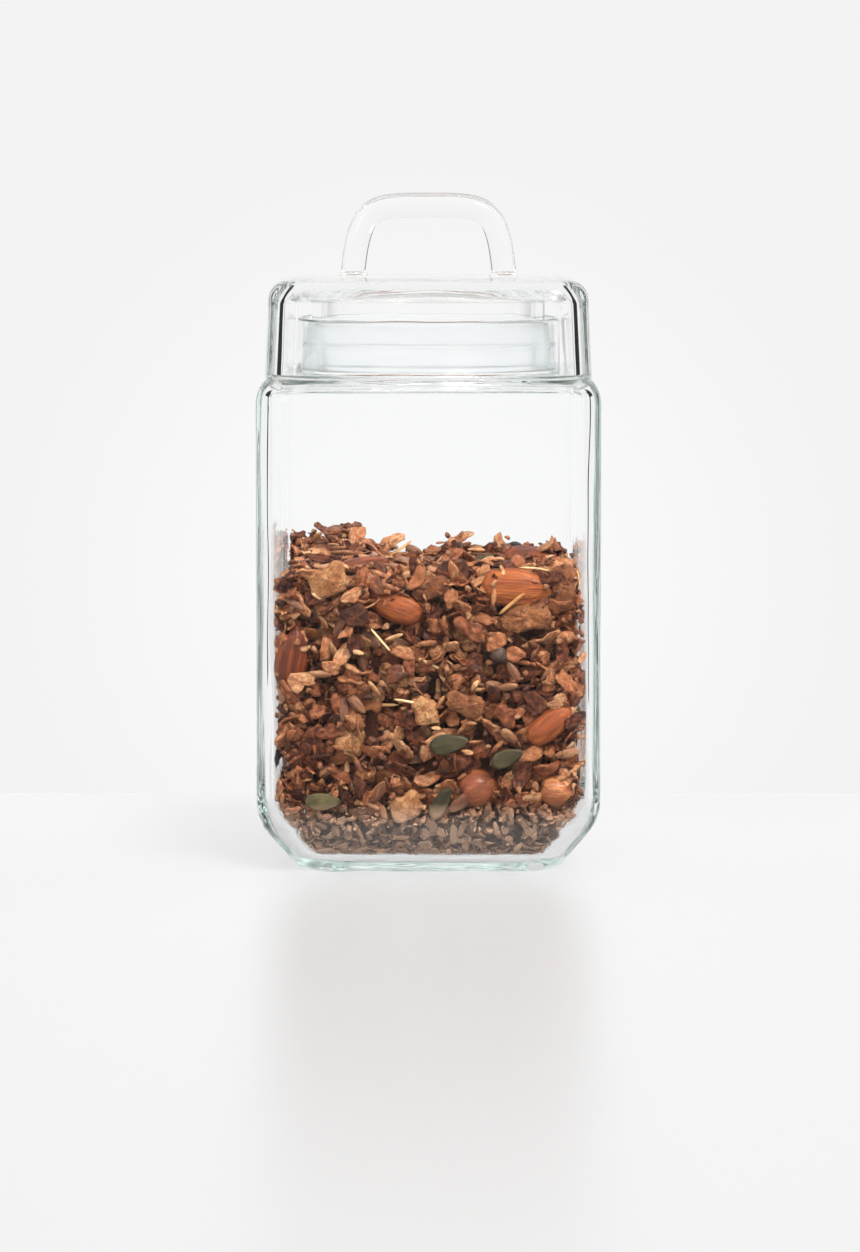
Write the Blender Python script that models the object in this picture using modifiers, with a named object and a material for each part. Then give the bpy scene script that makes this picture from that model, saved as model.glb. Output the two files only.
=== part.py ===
"""A square glass storage jar with a pressed-glass cap, a finned seal and a bent-rod handle.

Metres, +Z up. The origin is the middle of the foot, on the surface that the jar stands on, and the
front faces -Y. The cap lifts off along +Z and turns about the Z axis.

Nearly every level line round this object is a square with round corners, or a circle, which is
such a square at its roundest. So the glass is lofted through sections, each one a half width, a
corner radius and a height. The seal is turned, the handle is a bent rod, and its bonds are cones.
"""

import math

import bmesh
import bpy
from mathutils import Vector

# Facets
ARC_STEPS = 16  # in a quarter turn of a section
EDGE_STEPS = 4  # in a rounded edge
ROD_STEPS = 18  # along each half of the handle
ROD_ARC_STEPS = 5  # Blender's bevel resolution for the rod's round section
SEAL_STEPS = 64
BOND_STEPS = 24
HEAP_RINGS = 5  # from the edge of the heap's top in to its middle
WELD_DISTANCE = 0.00001
SHARP_ANGLE = math.radians(40)

# Clearances between separate pieces
TOUCH_GAP = 0.0003  # pieces that touch on the real object
LID_CLEARANCE = 0.0006  # inside of the cap to the neck, where it is tightest
LID_LIFT = 0.0005  # bottom of the cap to the shoulder
CONTENT_GAP = 0.0006  # granola to the glass

# Jar
JAR_WIDTH = 0.110  # across the flats
JAR_CORNER = 0.0125  # corner radius of the body, seen from above
JAR_WALL = 0.0045
JAR_BASE = 0.0052
CHAMFER_HEIGHT = 0.018  # sloping heel round the foot
CHAMFER_WIDTH = 0.014  # how far in it reaches, where it would meet the table
FOOT_CORNER = 0.007
CHAMFER_GLASS = 0.0050  # thickness across the chamfer
CHAMFER_ROUND = 0.005  # length of each leg of the rounded bend above the chamfer
HEEL_ROUND = 0.004
BEARING_WIDTH = 0.007  # flat ring that the jar stands on
RECESS_DEPTH = 0.0008
FLOOR_CORNER = 0.006
SHOULDER_HEIGHT = 0.160
SHOULDER_DROP = 0.0095  # how far below the shoulder its rounding starts
SHOULDER_ROUND = 0.007  # how far in it ends
SHOULDER_CORNER = 0.009
SHOULDER_GLASS = 0.0038
INNER_ROUND = 0.004  # rounding under the shoulder

# Neck
NECK_SETBACK = 0.0095  # body's flats to the outside of the neck
NECK_HEIGHT = 0.017
NECK_WALL = 0.0025
NECK_FILLET = 0.001
RIM_ROUND = 0.0012

# Cap
LID_WALL = 0.0052
LID_TOP = 0.0036
LID_CORNER = 0.013
LID_HEADROOM = 0.0098  # rim of the neck to the cap's ceiling
LID_DRAFT = math.radians(2.5)
LID_EDGE = 0.0055  # rounding of the top edge
LID_LIP = 0.0017  # rounding of the bottom edge
LID_CROWN = 0.0006  # how far the top plateau stands above the edge
CEILING_FILLET = 0.0045
PLATEAU_MARGIN = 0.0025  # flat glass left round the handle's bonds
PLATEAU_CORNER = 0.012

# Plug ring under the cap, and the seal that is stretched round it
SEAL_ROOM = 0.005  # plug ring to the bore of the neck
SEAL_HEIGHT = 0.016
SEAL_DROP = 0.0007  # rim of the neck to the top of the seal
SEAL_BODY = 0.0020  # thickness of the seal between its fins
FIN_COUNT = 3
FIN_ROOT = 0.0020  # height of a fin where it leaves the seal
FIN_TIP = 0.0009
FIN_TILT = 0.0006  # how far a fin's tip leans up
PLUG_WALL = 0.0032
PLUG_BEAD = 0.0008  # how far the bead under the seal stands out
PLUG_BEAD_HEIGHT = 0.0020
PLUG_ROUND = 0.0010

# Handle and its bonds
ROD_DIAMETER = 0.0081
HANDLE_SPAN = 0.0492  # between the middles of the feet
HANDLE_RISE = 0.0274  # top of the cap to the top of the rod
HANDLE_LEAN = 0.0022  # how far each leg's guide leans in
HANDLE_LEG = 0.0215  # how far up the legs stay straight
HANDLE_BAR = 0.0185  # how far out the bar stays straight
BOND_HEIGHT = 0.0013
BOND_FLARE = 0.0008  # bond's lower edge beyond the rod

# Granola
FILL_HEIGHT = 0.103
HEAP_RISE = 0.0035  # how far the heap's top goes up and down

# Heights and radii that follow
JAR_HALF = JAR_WIDTH / 2
FOOT_HALF = JAR_HALF - CHAMFER_WIDTH
INNER_HALF = JAR_HALF - JAR_WALL
INNER_CORNER = JAR_CORNER - JAR_WALL
CHAMFER_SLOPE = CHAMFER_HEIGHT / CHAMFER_WIDTH
CHAMFER_LIFT = CHAMFER_GLASS * math.hypot(CHAMFER_SLOPE, 1)  # outer chamfer to the inner one
FLOOR_HALF = FOOT_HALF + (JAR_BASE - CHAMFER_LIFT) / CHAMFER_SLOPE
INNER_CHAMFER_TOP = CHAMFER_LIFT + CHAMFER_SLOPE * (INNER_HALF - FOOT_HALF)
RIM = SHOULDER_HEIGHT + NECK_HEIGHT
NECK_RADIUS = JAR_HALF - NECK_SETBACK
BORE_RADIUS = NECK_RADIUS - NECK_WALL
CEILING = RIM + LID_HEADROOM
LID_HEIGHT = CEILING + LID_TOP
LID_BOTTOM = SHOULDER_HEIGHT + LID_LIFT
PLUG_RADIUS = BORE_RADIUS - SEAL_ROOM
SEAL_TOP = RIM - SEAL_DROP
SEAL_BOTTOM = SEAL_TOP - SEAL_HEIGHT
ROD_RADIUS = ROD_DIAMETER / 2
BOND_RADIUS = ROD_RADIUS + BOND_FLARE
FOOT_PLANE = LID_HEIGHT + BOND_HEIGHT + 2 * TOUCH_GAP  # underside of the handle's feet


def square(half_width, corner_radius, height):
    """A section: a square with round corners."""
    return Vector((half_width, corner_radius, height))


def circle(radius, height):
    """A section: a square whose corners have met."""
    return Vector((radius, radius, height))


def rounded(before, corner, after):
    """Sections on the rounded edge that leaves before, turns at corner and arrives at after."""
    angles = [math.pi / 2 * step / EDGE_STEPS for step in range(EDGE_STEPS + 1)]
    return [
        corner + (before - corner) * (1 - math.sin(a)) + (after - corner) * (1 - math.cos(a))
        for a in angles
    ]


def outline(section):
    """A section's points, anticlockwise from above. The facets' middles touch the true arcs."""
    half_width, corner_radius, height = section
    core = half_width - corner_radius
    half_step = math.pi / 4 / ARC_STEPS
    reach = corner_radius / math.cos(half_step)
    points = []
    for quarter in range(4):
        diagonal = math.pi / 4 + quarter * math.pi / 2
        centre_x = math.copysign(core, math.cos(diagonal))
        centre_y = math.copysign(core, math.sin(diagonal))
        for step in range(ARC_STEPS):
            angle = quarter * math.pi / 2 + half_step * (2 * step + 1)
            x = centre_x + reach * math.cos(angle)
            y = centre_y + reach * math.sin(angle)
            points.append(Vector((x, y, height)))
    return points


def material(name, colour, roughness, transmission=0.0, ior=1.5):
    """A Principled material."""
    made = bpy.data.materials.new(name)
    made.use_nodes = True
    made.diffuse_color = colour
    shader = made.node_tree.nodes["Principled BSDF"]
    shader.inputs["Base Color"].default_value = colour
    shader.inputs["Roughness"].default_value = roughness
    shader.inputs["Metallic"].default_value = 0.0
    shader.inputs["Transmission Weight"].default_value = transmission
    shader.inputs["IOR"].default_value = ior
    return made


def glass(name):
    """Clear soda-lime glass with its faint green."""
    return material(name, (0.86, 0.93, 0.90, 1), 0.03, transmission=1.0, ior=1.52)


def finish_object(made, name, look):
    """Names the object, gives it its material, shades it and puts it in the object's collection."""
    made.name = name
    made.data.name = name
    made.data.materials.clear()
    made.data.materials.append(look)
    made.data.shade_smooth()
    made.data.set_sharp_from_angle(angle=SHARP_ANGLE)
    for collection in list(made.users_collection):
        collection.objects.unlink(made)
    PIECES.objects.link(made)
    return made


def loft(name, rings, look):
    """A closed solid whose skin runs through rings of points and is capped at both ends.

    The skin faces out when the rings run up the outside of the solid and down its hollows.
    """
    mesh = bmesh.new()
    loops = [[mesh.verts.new(point) for point in ring] for ring in rings]
    for lower, upper in zip(loops, loops[1:]):
        for i in range(len(lower)):
            mesh.faces.new((lower[i - 1], lower[i], upper[i], upper[i - 1]))
    mesh.faces.new(list(reversed(loops[0])))
    mesh.faces.new(loops[-1])
    data = bpy.data.meshes.new(name)
    mesh.to_mesh(data)
    mesh.free()
    made = bpy.data.objects.new(name, data)
    bpy.context.collection.objects.link(made)
    return finish_object(made, name, look)


def chamfer_sections(low, high, low_leg, high_leg):
    """The two ends of a slope from low to high, each a set distance along it from its corner."""
    run = high - low
    length = math.hypot(run.x, run.z)
    return low + run * (low_leg / length), high - run * (high_leg / length)


def jar_outside():
    """From the recess under the foot, out over the heel, and up to the rim."""
    foot = square(FOOT_HALF, FOOT_CORNER, 0)
    bend = square(JAR_HALF, JAR_CORNER, CHAMFER_HEIGHT)
    shoulder = square(JAR_HALF, JAR_CORNER, SHOULDER_HEIGHT)
    above_heel, below_bend = chamfer_sections(foot, bend, HEEL_ROUND, CHAMFER_ROUND)
    heel = square(FOOT_HALF - HEEL_ROUND, FOOT_CORNER, 0)
    recess_edge = FOOT_HALF - HEEL_ROUND - BEARING_WIDTH
    shoulder_edge = square(JAR_HALF - SHOULDER_ROUND, SHOULDER_CORNER, SHOULDER_HEIGHT)
    sections = [
        square(recess_edge - RECESS_DEPTH, FOOT_CORNER, RECESS_DEPTH),
        square(recess_edge, FOOT_CORNER, 0),
    ]
    sections += rounded(heel, foot, above_heel)
    sections += rounded(below_bend, bend, bend + Vector((0, 0, CHAMFER_ROUND)))
    sections += rounded(shoulder - Vector((0, 0, SHOULDER_DROP)), shoulder, shoulder_edge)
    sections += rounded(
        circle(NECK_RADIUS + NECK_FILLET, SHOULDER_HEIGHT),
        circle(NECK_RADIUS, SHOULDER_HEIGHT),
        circle(NECK_RADIUS, SHOULDER_HEIGHT + NECK_FILLET),
    )
    sections += rounded(
        circle(NECK_RADIUS, RIM - RIM_ROUND),
        circle(NECK_RADIUS, RIM),
        circle(NECK_RADIUS - RIM_ROUND, RIM),
    )
    return sections


def inner_wall(gap, top):
    """The inside of the jar's body from the floor up to a height, at a gap from the glass."""
    floor = square(FLOOR_HALF - gap, FLOOR_CORNER, JAR_BASE + gap)
    bend = square(INNER_HALF - gap, INNER_CORNER, INNER_CHAMFER_TOP)
    above_floor, below_bend = chamfer_sections(floor, bend, HEEL_ROUND, CHAMFER_ROUND)
    floor_edge = floor - Vector((HEEL_ROUND, 0, 0))
    sections = rounded(floor_edge, floor, above_floor)
    sections += rounded(below_bend, bend, bend + Vector((0, 0, CHAMFER_ROUND)))
    return sections + [square(INNER_HALF - gap, INNER_CORNER, top)]


def jar_inside():
    """From the floor up the inner wall, in under the shoulder and up the bore to the rim."""
    underside = SHOULDER_HEIGHT - SHOULDER_GLASS
    sections = inner_wall(0, underside - INNER_ROUND)[:-1]
    sections += rounded(
        square(INNER_HALF, INNER_CORNER, underside - INNER_ROUND),
        square(INNER_HALF, INNER_CORNER, underside),
        square(INNER_HALF - INNER_ROUND, INNER_CORNER, underside),
    )
    sections += rounded(
        circle(BORE_RADIUS + RIM_ROUND, underside),
        circle(BORE_RADIUS, underside),
        circle(BORE_RADIUS, underside + RIM_ROUND),
    )
    sections += rounded(
        circle(BORE_RADIUS, RIM - RIM_ROUND),
        circle(BORE_RADIUS, RIM),
        circle(BORE_RADIUS + RIM_ROUND, RIM),
    )
    return sections


def make_jar():
    """The jar, one skin from the recess under its foot to its floor."""
    sections = jar_outside() + list(reversed(jar_inside()))
    return loft("jar", [outline(section) for section in sections], glass("jar_glass"))


def lid_inside(height, inset=0.0):
    """A section of the cap's cavity, which widens towards its open end."""
    half_width = NECK_RADIUS + LID_CLEARANCE + (RIM - height) * math.tan(LID_DRAFT)
    return square(half_width - inset, LID_CORNER - LID_WALL - inset, height)


def lid_outside(height, inset=0.0):
    """A section of the cap's outside, one wall beyond its cavity."""
    return lid_inside(height, inset) + Vector((LID_WALL, LID_WALL, 0))


def lid_shell():
    """From the plateau on top, down the outside, and up the cavity to its ceiling."""
    plateau = HANDLE_SPAN / 2 + BOND_RADIUS + PLATEAU_MARGIN
    edge_height = LID_HEIGHT - LID_CROWN
    sections = [square(plateau, PLATEAU_CORNER, LID_HEIGHT)]
    sections += rounded(
        lid_outside(edge_height, LID_EDGE), lid_outside(edge_height), lid_outside(edge_height - LID_EDGE)
    )
    sections += rounded(
        lid_outside(LID_BOTTOM + LID_LIP), lid_outside(LID_BOTTOM), lid_outside(LID_BOTTOM, LID_LIP)
    )
    sections += rounded(
        lid_inside(LID_BOTTOM, -LID_LIP), lid_inside(LID_BOTTOM), lid_inside(LID_BOTTOM + LID_LIP)
    )
    sections += rounded(
        lid_inside(CEILING - CEILING_FILLET), lid_inside(CEILING), lid_inside(CEILING, CEILING_FILLET)
    )
    return sections


def plug_ring():
    """From the cap's ceiling down the outside of the plug ring and up its inside."""
    bead = PLUG_RADIUS + PLUG_BEAD
    bead_top = SEAL_BOTTOM - TOUCH_GAP
    bottom = bead_top - PLUG_BEAD_HEIGHT
    inside = PLUG_RADIUS - PLUG_WALL
    sections = rounded(
        circle(PLUG_RADIUS + PLUG_ROUND, CEILING),
        circle(PLUG_RADIUS, CEILING),
        circle(PLUG_RADIUS, CEILING - PLUG_ROUND),
    )
    sections += [circle(PLUG_RADIUS, bead_top), circle(bead, bead_top - PLUG_BEAD / 2)]
    sections += rounded(
        circle(bead, bottom + PLUG_ROUND), circle(bead, bottom), circle(bead - PLUG_ROUND, bottom)
    )
    sections += rounded(
        circle(inside + PLUG_ROUND, bottom), circle(inside, bottom), circle(inside, bottom + PLUG_ROUND)
    )
    sections += rounded(
        circle(inside, CEILING - PLUG_ROUND), circle(inside, CEILING), circle(inside - PLUG_ROUND, CEILING)
    )
    return sections


def make_lid():
    """The cap and its plug ring, one piece of glass."""
    sections = lid_shell() + plug_ring()
    return loft("lid", [outline(section) for section in reversed(sections)], glass("lid_glass"))


def seal_profile():
    """Radius and height round the seal's wall, down its finned outside and up its inside."""
    inside = PLUG_RADIUS + TOUCH_GAP
    body = inside + SEAL_BODY
    tip = BORE_RADIUS - TOUCH_GAP
    pitch = (SEAL_HEIGHT - FIN_ROOT) / (FIN_COUNT - 1)
    points = []
    for fin in range(FIN_COUNT):
        middle = SEAL_TOP - FIN_ROOT / 2 - fin * pitch
        tip_middle = middle + FIN_TILT / 2
        points += [
            (body, middle + FIN_ROOT / 2),
            (tip - FIN_TIP / 2, tip_middle + FIN_TIP / 2),
            (tip, tip_middle),
            (tip - FIN_TIP / 2, tip_middle - FIN_TIP / 2),
            (body, middle - FIN_ROOT / 2),
        ]
    return points + [(inside, SEAL_BOTTOM), (inside, SEAL_TOP)]


def make_seal():
    """The soft finned ring, turned about the Z axis."""
    profile = seal_profile()
    edges = [(i, (i + 1) % len(profile)) for i in range(len(profile))]
    data = bpy.data.meshes.new("seal_ring")
    data.from_pydata([(radius, 0, height) for radius, height in profile], edges, [])
    made = bpy.data.objects.new("seal_ring", data)
    bpy.context.collection.objects.link(made)
    turn = made.modifiers.new("turn", "SCREW")
    turn.steps = SEAL_STEPS
    turn.render_steps = SEAL_STEPS
    turn.use_merge_vertices = True
    turn.merge_threshold = WELD_DISTANCE
    look = material("seal_silicone", (0.70, 0.84, 0.90, 1), 0.35, transmission=0.6, ior=1.41)
    return finish_object(made, "seal_ring", look)


def handle_rod():
    """The bent rod as a curve, with its feet run on past the plane where they are cut."""
    foot_x = HANDLE_SPAN / 2
    top = LID_HEIGHT + HANDLE_RISE - ROD_RADIUS
    start = FOOT_PLANE - ROD_DIAMETER
    rise = HANDLE_LEG + ROD_DIAMETER
    lean_per_rise = HANDLE_LEAN / HANDLE_LEG
    curve = bpy.data.curves.new("handle_rod", "CURVE")
    curve.dimensions = "3D"
    curve.resolution_u = ROD_STEPS
    curve.bevel_depth = ROD_RADIUS
    curve.bevel_resolution = ROD_ARC_STEPS
    curve.use_fill_caps = True
    spline = curve.splines.new("BEZIER")
    spline.bezier_points.add(2)
    for side, point in zip((-1, 0, 1), spline.bezier_points):
        point.handle_left_type = "FREE"
        point.handle_right_type = "FREE"
        below = side * (foot_x + lean_per_rise * ROD_DIAMETER)
        above = side * (foot_x - HANDLE_LEAN)
        point.co = (below, 0, start) if side else (0, 0, top)
        leg_guide = Vector((above, 0, start + rise))
        point.handle_left = leg_guide if side else (-HANDLE_BAR, 0, top)
        point.handle_right = leg_guide if side else (HANDLE_BAR, 0, top)
    return bpy.data.objects.new("handle_rod", curve)


def as_mesh_object(curve_object, name):
    """A welded mesh object made from a curve object, which is removed."""
    bpy.context.collection.objects.link(curve_object)
    bpy.context.view_layer.update()
    evaluated = curve_object.evaluated_get(bpy.context.evaluated_depsgraph_get())
    data = bpy.data.meshes.new_from_object(evaluated)
    mesh = bmesh.new()
    mesh.from_mesh(data)
    bmesh.ops.remove_doubles(mesh, verts=mesh.verts, dist=WELD_DISTANCE)
    mesh.to_mesh(data)
    mesh.free()
    made = bpy.data.objects.new(name, data)
    made.matrix_world = curve_object.matrix_world
    bpy.data.objects.remove(curve_object)
    bpy.context.collection.objects.link(made)
    return made


def foot_cutter():
    """A block whose top is the plane that the handle's feet are cut to."""
    depth = 3 * ROD_DIAMETER
    width = HANDLE_SPAN + 4 * ROD_DIAMETER
    bpy.ops.mesh.primitive_cube_add(size=1, location=(0, 0, FOOT_PLANE - depth / 2))
    block = bpy.context.active_object
    block.scale = (width, depth, depth)
    bpy.ops.object.transform_apply(location=False, rotation=False, scale=True)
    block.name = "foot_cutter"
    block.hide_render = True
    block.display_type = "WIRE"
    for collection in list(block.users_collection):
        collection.objects.unlink(block)
    CUTTERS.objects.link(block)
    return block


def make_handle():
    """The bent rod, its feet cut level with the top of the cap."""
    made = as_mesh_object(handle_rod(), "handle")
    cut = made.modifiers.new("level_feet", "BOOLEAN")
    cut.operation = "DIFFERENCE"
    cut.solver = "EXACT"
    cut.object = foot_cutter()
    return finish_object(made, "handle", glass("handle_glass"))


def make_bond(name, side):
    """The short flared collar of clear resin under one foot."""
    middle = LID_HEIGHT + TOUCH_GAP + BOND_HEIGHT / 2
    bpy.ops.mesh.primitive_cone_add(
        vertices=BOND_STEPS,
        radius1=BOND_RADIUS,
        radius2=ROD_RADIUS,
        depth=BOND_HEIGHT,
        location=(side * HANDLE_SPAN / 2, 0, middle),
    )
    look = material(name + "_resin", (0.90, 0.92, 0.86, 1), 0.08, transmission=0.9, ior=1.48)
    return finish_object(bpy.context.active_object, name, look)


def heap_height(x, y):
    """The uneven top of the granola."""
    across = math.pi * x / JAR_HALF
    along = math.pi * y / JAR_HALF
    broad = math.sin(1.4 * across + 0.5) * math.cos(0.9 * along)
    narrow = math.sin(1.7 * along + 1.0)
    return FILL_HEIGHT + HEAP_RISE * (0.6 * broad + 0.4 * narrow)


def heap_ring(section):
    """A section's points, each raised to the top of the heap."""
    return [Vector((p.x, p.y, heap_height(p.x, p.y))) for p in outline(section)]


def make_granola():
    """The contents as one plain heap, filling the jar's inside to an uneven top."""
    edge = square(INNER_HALF - CONTENT_GAP, INNER_CORNER, FILL_HEIGHT)
    wall = inner_wall(CONTENT_GAP, FILL_HEIGHT)[:-1]
    rings = [outline(section) for section in wall]
    rings += [heap_ring(edge * (ring / HEAP_RINGS)) for ring in range(HEAP_RINGS, 0, -1)]
    return loft("granola", rings, material("granola_mix", (0.23, 0.10, 0.05, 1), 0.8))


def hang_on_axis(pieces):
    """Parents pieces to an empty on the Z axis, about which the cap turns and along which it lifts."""
    axis = bpy.data.objects.new("lid_axis", None)
    axis.location = (0, 0, RIM)
    PIECES.objects.link(axis)
    bpy.context.view_layer.update()
    for piece in pieces:
        piece.parent = axis
        piece.matrix_parent_inverse = axis.matrix_world.inverted()


def new_collection(name):
    """A collection in the scene."""
    made = bpy.data.collections.new(name)
    bpy.context.scene.collection.children.link(made)
    return made


for old in list(bpy.data.objects):
    bpy.data.objects.remove(old)
PIECES = new_collection("lidded_glass_canister")
CUTTERS = new_collection("cutters")

make_jar()
make_granola()
make_seal()
hang_on_axis(
    [
        make_lid(),
        make_handle(),
        make_bond("handle_bond_left", -1),
        make_bond("handle_bond_right", 1),
    ]
)
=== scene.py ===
"""The looks of a square glass canister, part filled with cocoa granola, on a pale table by a wall.

The glass, the seal and the handle are finer versions of the CAD nodes, lofted or swept through
The granola is some thousands of separate flakes, lumps, seeds and nuts, packed
against the inside of the glass and over the top of the heap, round a core
coloured dark as painted shade.
"""

import math

import bmesh
import bpy
import numpy as np
from mathutils import Matrix, Vector, noise


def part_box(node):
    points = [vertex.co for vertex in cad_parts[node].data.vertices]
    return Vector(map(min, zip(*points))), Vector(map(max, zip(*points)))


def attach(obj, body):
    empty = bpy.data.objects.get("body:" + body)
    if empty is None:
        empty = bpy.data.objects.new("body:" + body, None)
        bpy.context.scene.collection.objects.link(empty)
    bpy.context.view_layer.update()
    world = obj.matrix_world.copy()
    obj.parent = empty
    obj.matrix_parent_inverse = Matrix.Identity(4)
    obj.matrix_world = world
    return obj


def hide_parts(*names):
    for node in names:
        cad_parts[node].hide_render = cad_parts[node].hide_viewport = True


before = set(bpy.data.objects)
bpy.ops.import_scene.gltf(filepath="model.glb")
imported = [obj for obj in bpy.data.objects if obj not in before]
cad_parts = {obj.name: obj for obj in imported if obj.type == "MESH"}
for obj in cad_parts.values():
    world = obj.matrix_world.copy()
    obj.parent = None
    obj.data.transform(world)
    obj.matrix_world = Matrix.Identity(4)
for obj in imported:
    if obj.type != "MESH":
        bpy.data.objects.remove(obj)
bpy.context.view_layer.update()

# --- Sizes read from the frame
JAR_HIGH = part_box("jar")[1]
LID_LOW, LID_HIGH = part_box("lid")
SEAL_LOW, SEAL_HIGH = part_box("seal_ring")
ROD_LOW, ROD_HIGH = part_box("handle")
BOND_LOW, BOND_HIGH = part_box("handle_bond_right")
FILL_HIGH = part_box("granola")[1]

JAR_HALF = JAR_HIGH[0]
RIM = JAR_HIGH[2]
LID_TOP = LID_HIGH[2]
LID_HALF = LID_HIGH[0]
SEAL_RADIUS = SEAL_HIGH[0]
SEAL_TOP = SEAL_HIGH[2]
SEAL_BOTTOM = SEAL_LOW[2]
ROD_RADIUS = ROD_HIGH[1]
ROD_TOP = ROD_HIGH[2]
BOND_RADIUS = (BOND_HIGH[0] - BOND_LOW[0]) / 2
FOOT_X = (BOND_HIGH[0] + BOND_LOW[0]) / 2

# --- Sizes of the glass that no box shows, in metres
WALL = 0.0045
BASE = 0.0052
JAR_CORNER = 0.0125
CHAMFER_HEIGHT = 0.018
CHAMFER_WIDTH = 0.014
CHAMFER_GLASS = 0.005
CHAMFER_ROUND = 0.005
FOOT_CORNER = 0.007
FLOOR_CORNER = 0.006
HEEL_ROUND = 0.004
BEARING_WIDTH = 0.007
RECESS_DEPTH = 0.0008
NECK_HEIGHT = 0.017
NECK_WALL = 0.0025
NECK_FILLET = 0.001
RIM_ROUND = 0.0012
SHOULDER_DROP = 0.0095
SHOULDER_ROUND = 0.007
SHOULDER_CORNER = 0.009
SHOULDER_GLASS = 0.0038
INNER_ROUND = 0.004
NECK_SETBACK = 0.0095
LID_WALL = 0.0052
LID_GLASS = 0.0036
LID_CORNER = 0.013
LID_EDGE = 0.0055
LID_LIP = 0.0019
LID_CROWN = 0.0006
LID_CLEARANCE = 0.0006
LID_DRAFT = math.radians(2.5)
CEILING_FILLET = 0.0045
PLATEAU_CORNER = 0.012
PLATEAU_MARGIN = 0.0025
SEAL_ROOM = 0.005
SEAL_BODY = 0.002
PLUG_WALL = 0.0032
PLUG_BEAD = 0.0008
PLUG_BEAD_HEIGHT = 0.002
PLUG_ROUND = 0.001
TOUCH_GAP = 0.0003
HANDLE_LEAN = 0.0022
HANDLE_LEG = 0.0215
HANDLE_BAR = 0.0185

# --- Sizes that follow
SHOULDER = RIM - NECK_HEIGHT
FOOT_HALF = JAR_HALF - CHAMFER_WIDTH
INNER_HALF = JAR_HALF - WALL
INNER_CORNER = JAR_CORNER - WALL
CHAMFER_SLOPE = CHAMFER_HEIGHT / CHAMFER_WIDTH
CHAMFER_LIFT = CHAMFER_GLASS * math.hypot(CHAMFER_SLOPE, 1)
FLOOR_HALF = FOOT_HALF + (BASE - CHAMFER_LIFT) / CHAMFER_SLOPE
INNER_CHAMFER_TOP = CHAMFER_LIFT + CHAMFER_SLOPE * (INNER_HALF - FOOT_HALF)
NECK_RADIUS = JAR_HALF - NECK_SETBACK
BORE_RADIUS = NECK_RADIUS - NECK_WALL
PLUG_RADIUS = BORE_RADIUS - SEAL_ROOM
CEILING = LID_TOP - LID_GLASS

# --- Fineness
QUARTER_POINTS = 44  # in a quarter of a section
CORNER_DENSITY = 0.75  # how much closer together they are at the corner, 0 to 1
EDGE_STEPS = 10  # in a rounded edge
LONGEST_STEP = 0.003  # between sections
DISC_SHARES = (0.02, 0.25, 0.5, 0.75)  # of a flat face, from near its middle out
SEAL_STEPS = 72  # down the seal
SEAL_TURNS = 160
ROD_STEPS = 40  # along each half of the handle
ROD_ARC_STEPS = 12  # Blender's bevel resolution for the rod's round section
BOND_STEPS = 10
BOND_TURNS = 64
WALL_GRID = 60  # in a quarter of the wall that the granola is packed against
WELD_DISTANCE = 0.00001
SHARP_ANGLE = math.radians(50)
TINY = 1e-12  # keeps a division safe

# --- Ripple of the pressed glass: how far the skin moves outside and inside, and waves a metre
JAR_RIPPLE = (0.00004, 0.00030)
LID_RIPPLE = (0.00003, 0.00010)
LONG_WAVES, LONG_WAVES_UP = 70, 22
SHORT_WAVES, SHORT_WAVES_UP = 170, 60
SHORT_SHARE = 0.35

# --- Seal's fins
FIN_COUNT = 3
FIN_HALF_WIDTH = 0.085  # as a share of the distance between two fins


# ---------------------------------------------------------------- lofted glass


def square(half_width, corner_radius, height):
    """A section: a square with round corners."""
    return Vector((half_width, corner_radius, height))


def circle(radius, height):
    """A section: a square whose corners have met."""
    return Vector((radius, radius, height))


def rounded(before, corner, after):
    """Sections on the rounded edge that leaves before, turns at corner and arrives at after."""
    angles = [math.pi / 2 * step / EDGE_STEPS for step in range(EDGE_STEPS + 1)]
    return [
        corner + (before - corner) * (1 - math.sin(a)) + (after - corner) * (1 - math.cos(a))
        for a in angles
    ]


def slope_ends(low, high, low_leg, high_leg):
    """The two ends of a slope, each a set distance along it from its corner."""
    run = high - low
    length = math.hypot(run.x, run.z)
    return low + run * (low_leg / length), high - run * (high_leg / length)


def outline(section, shares):
    """Points of a section at shares of a quarter's length, from each side's middle round to the next."""
    half_width, corner_radius, height = section
    core = half_width - corner_radius
    arc = corner_radius * math.pi / 2
    along = shares * (2 * core + arc)
    angle = np.clip((along - core) / max(corner_radius, TINY), 0, math.pi / 2)
    x = core + corner_radius * np.cos(angle) - np.clip(along - core - arc, 0, None)
    y = np.minimum(along, core) + corner_radius * np.sin(angle)
    quarter = np.stack([x, y], 1)
    turned = [quarter]
    for _ in range(3):
        last = turned[-1]
        turned.append(np.stack([-last[:, 1], last[:, 0]], 1))
    flat = np.concatenate(turned)
    return np.column_stack([flat, np.full(len(flat), height)])


def quarter_shares():
    """Shares of a quarter's length, closest together where the corner is."""
    even = np.arange(QUARTER_POINTS) / QUARTER_POINTS
    return even + CORNER_DENSITY * np.sin(2 * math.pi * even) / (2 * math.pi)


def refined(sections):
    """The sections with more between any two that are far apart."""
    made = [sections[0]]
    for before, after in zip(sections, sections[1:]):
        parts = max(1, math.ceil((after - before).length / LONGEST_STEP))
        made += [before.lerp(after, part / parts) for part in range(1, parts + 1)]
    return made


def disc(section):
    """Sections from near the middle of a flat face out to its edge."""
    return [square(section.x * share, section.y * share, section.z) for share in DISC_SHARES]


def mesh_object(name, points, faces, look):
    """A smooth mesh object."""
    data = bpy.data.meshes.new(name)
    data.from_pydata(points, [], faces)
    data.validate()
    data.shade_smooth()
    data.materials.append(look)
    made = bpy.data.objects.new(name, data)
    bpy.context.scene.collection.objects.link(made)
    return made


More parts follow.
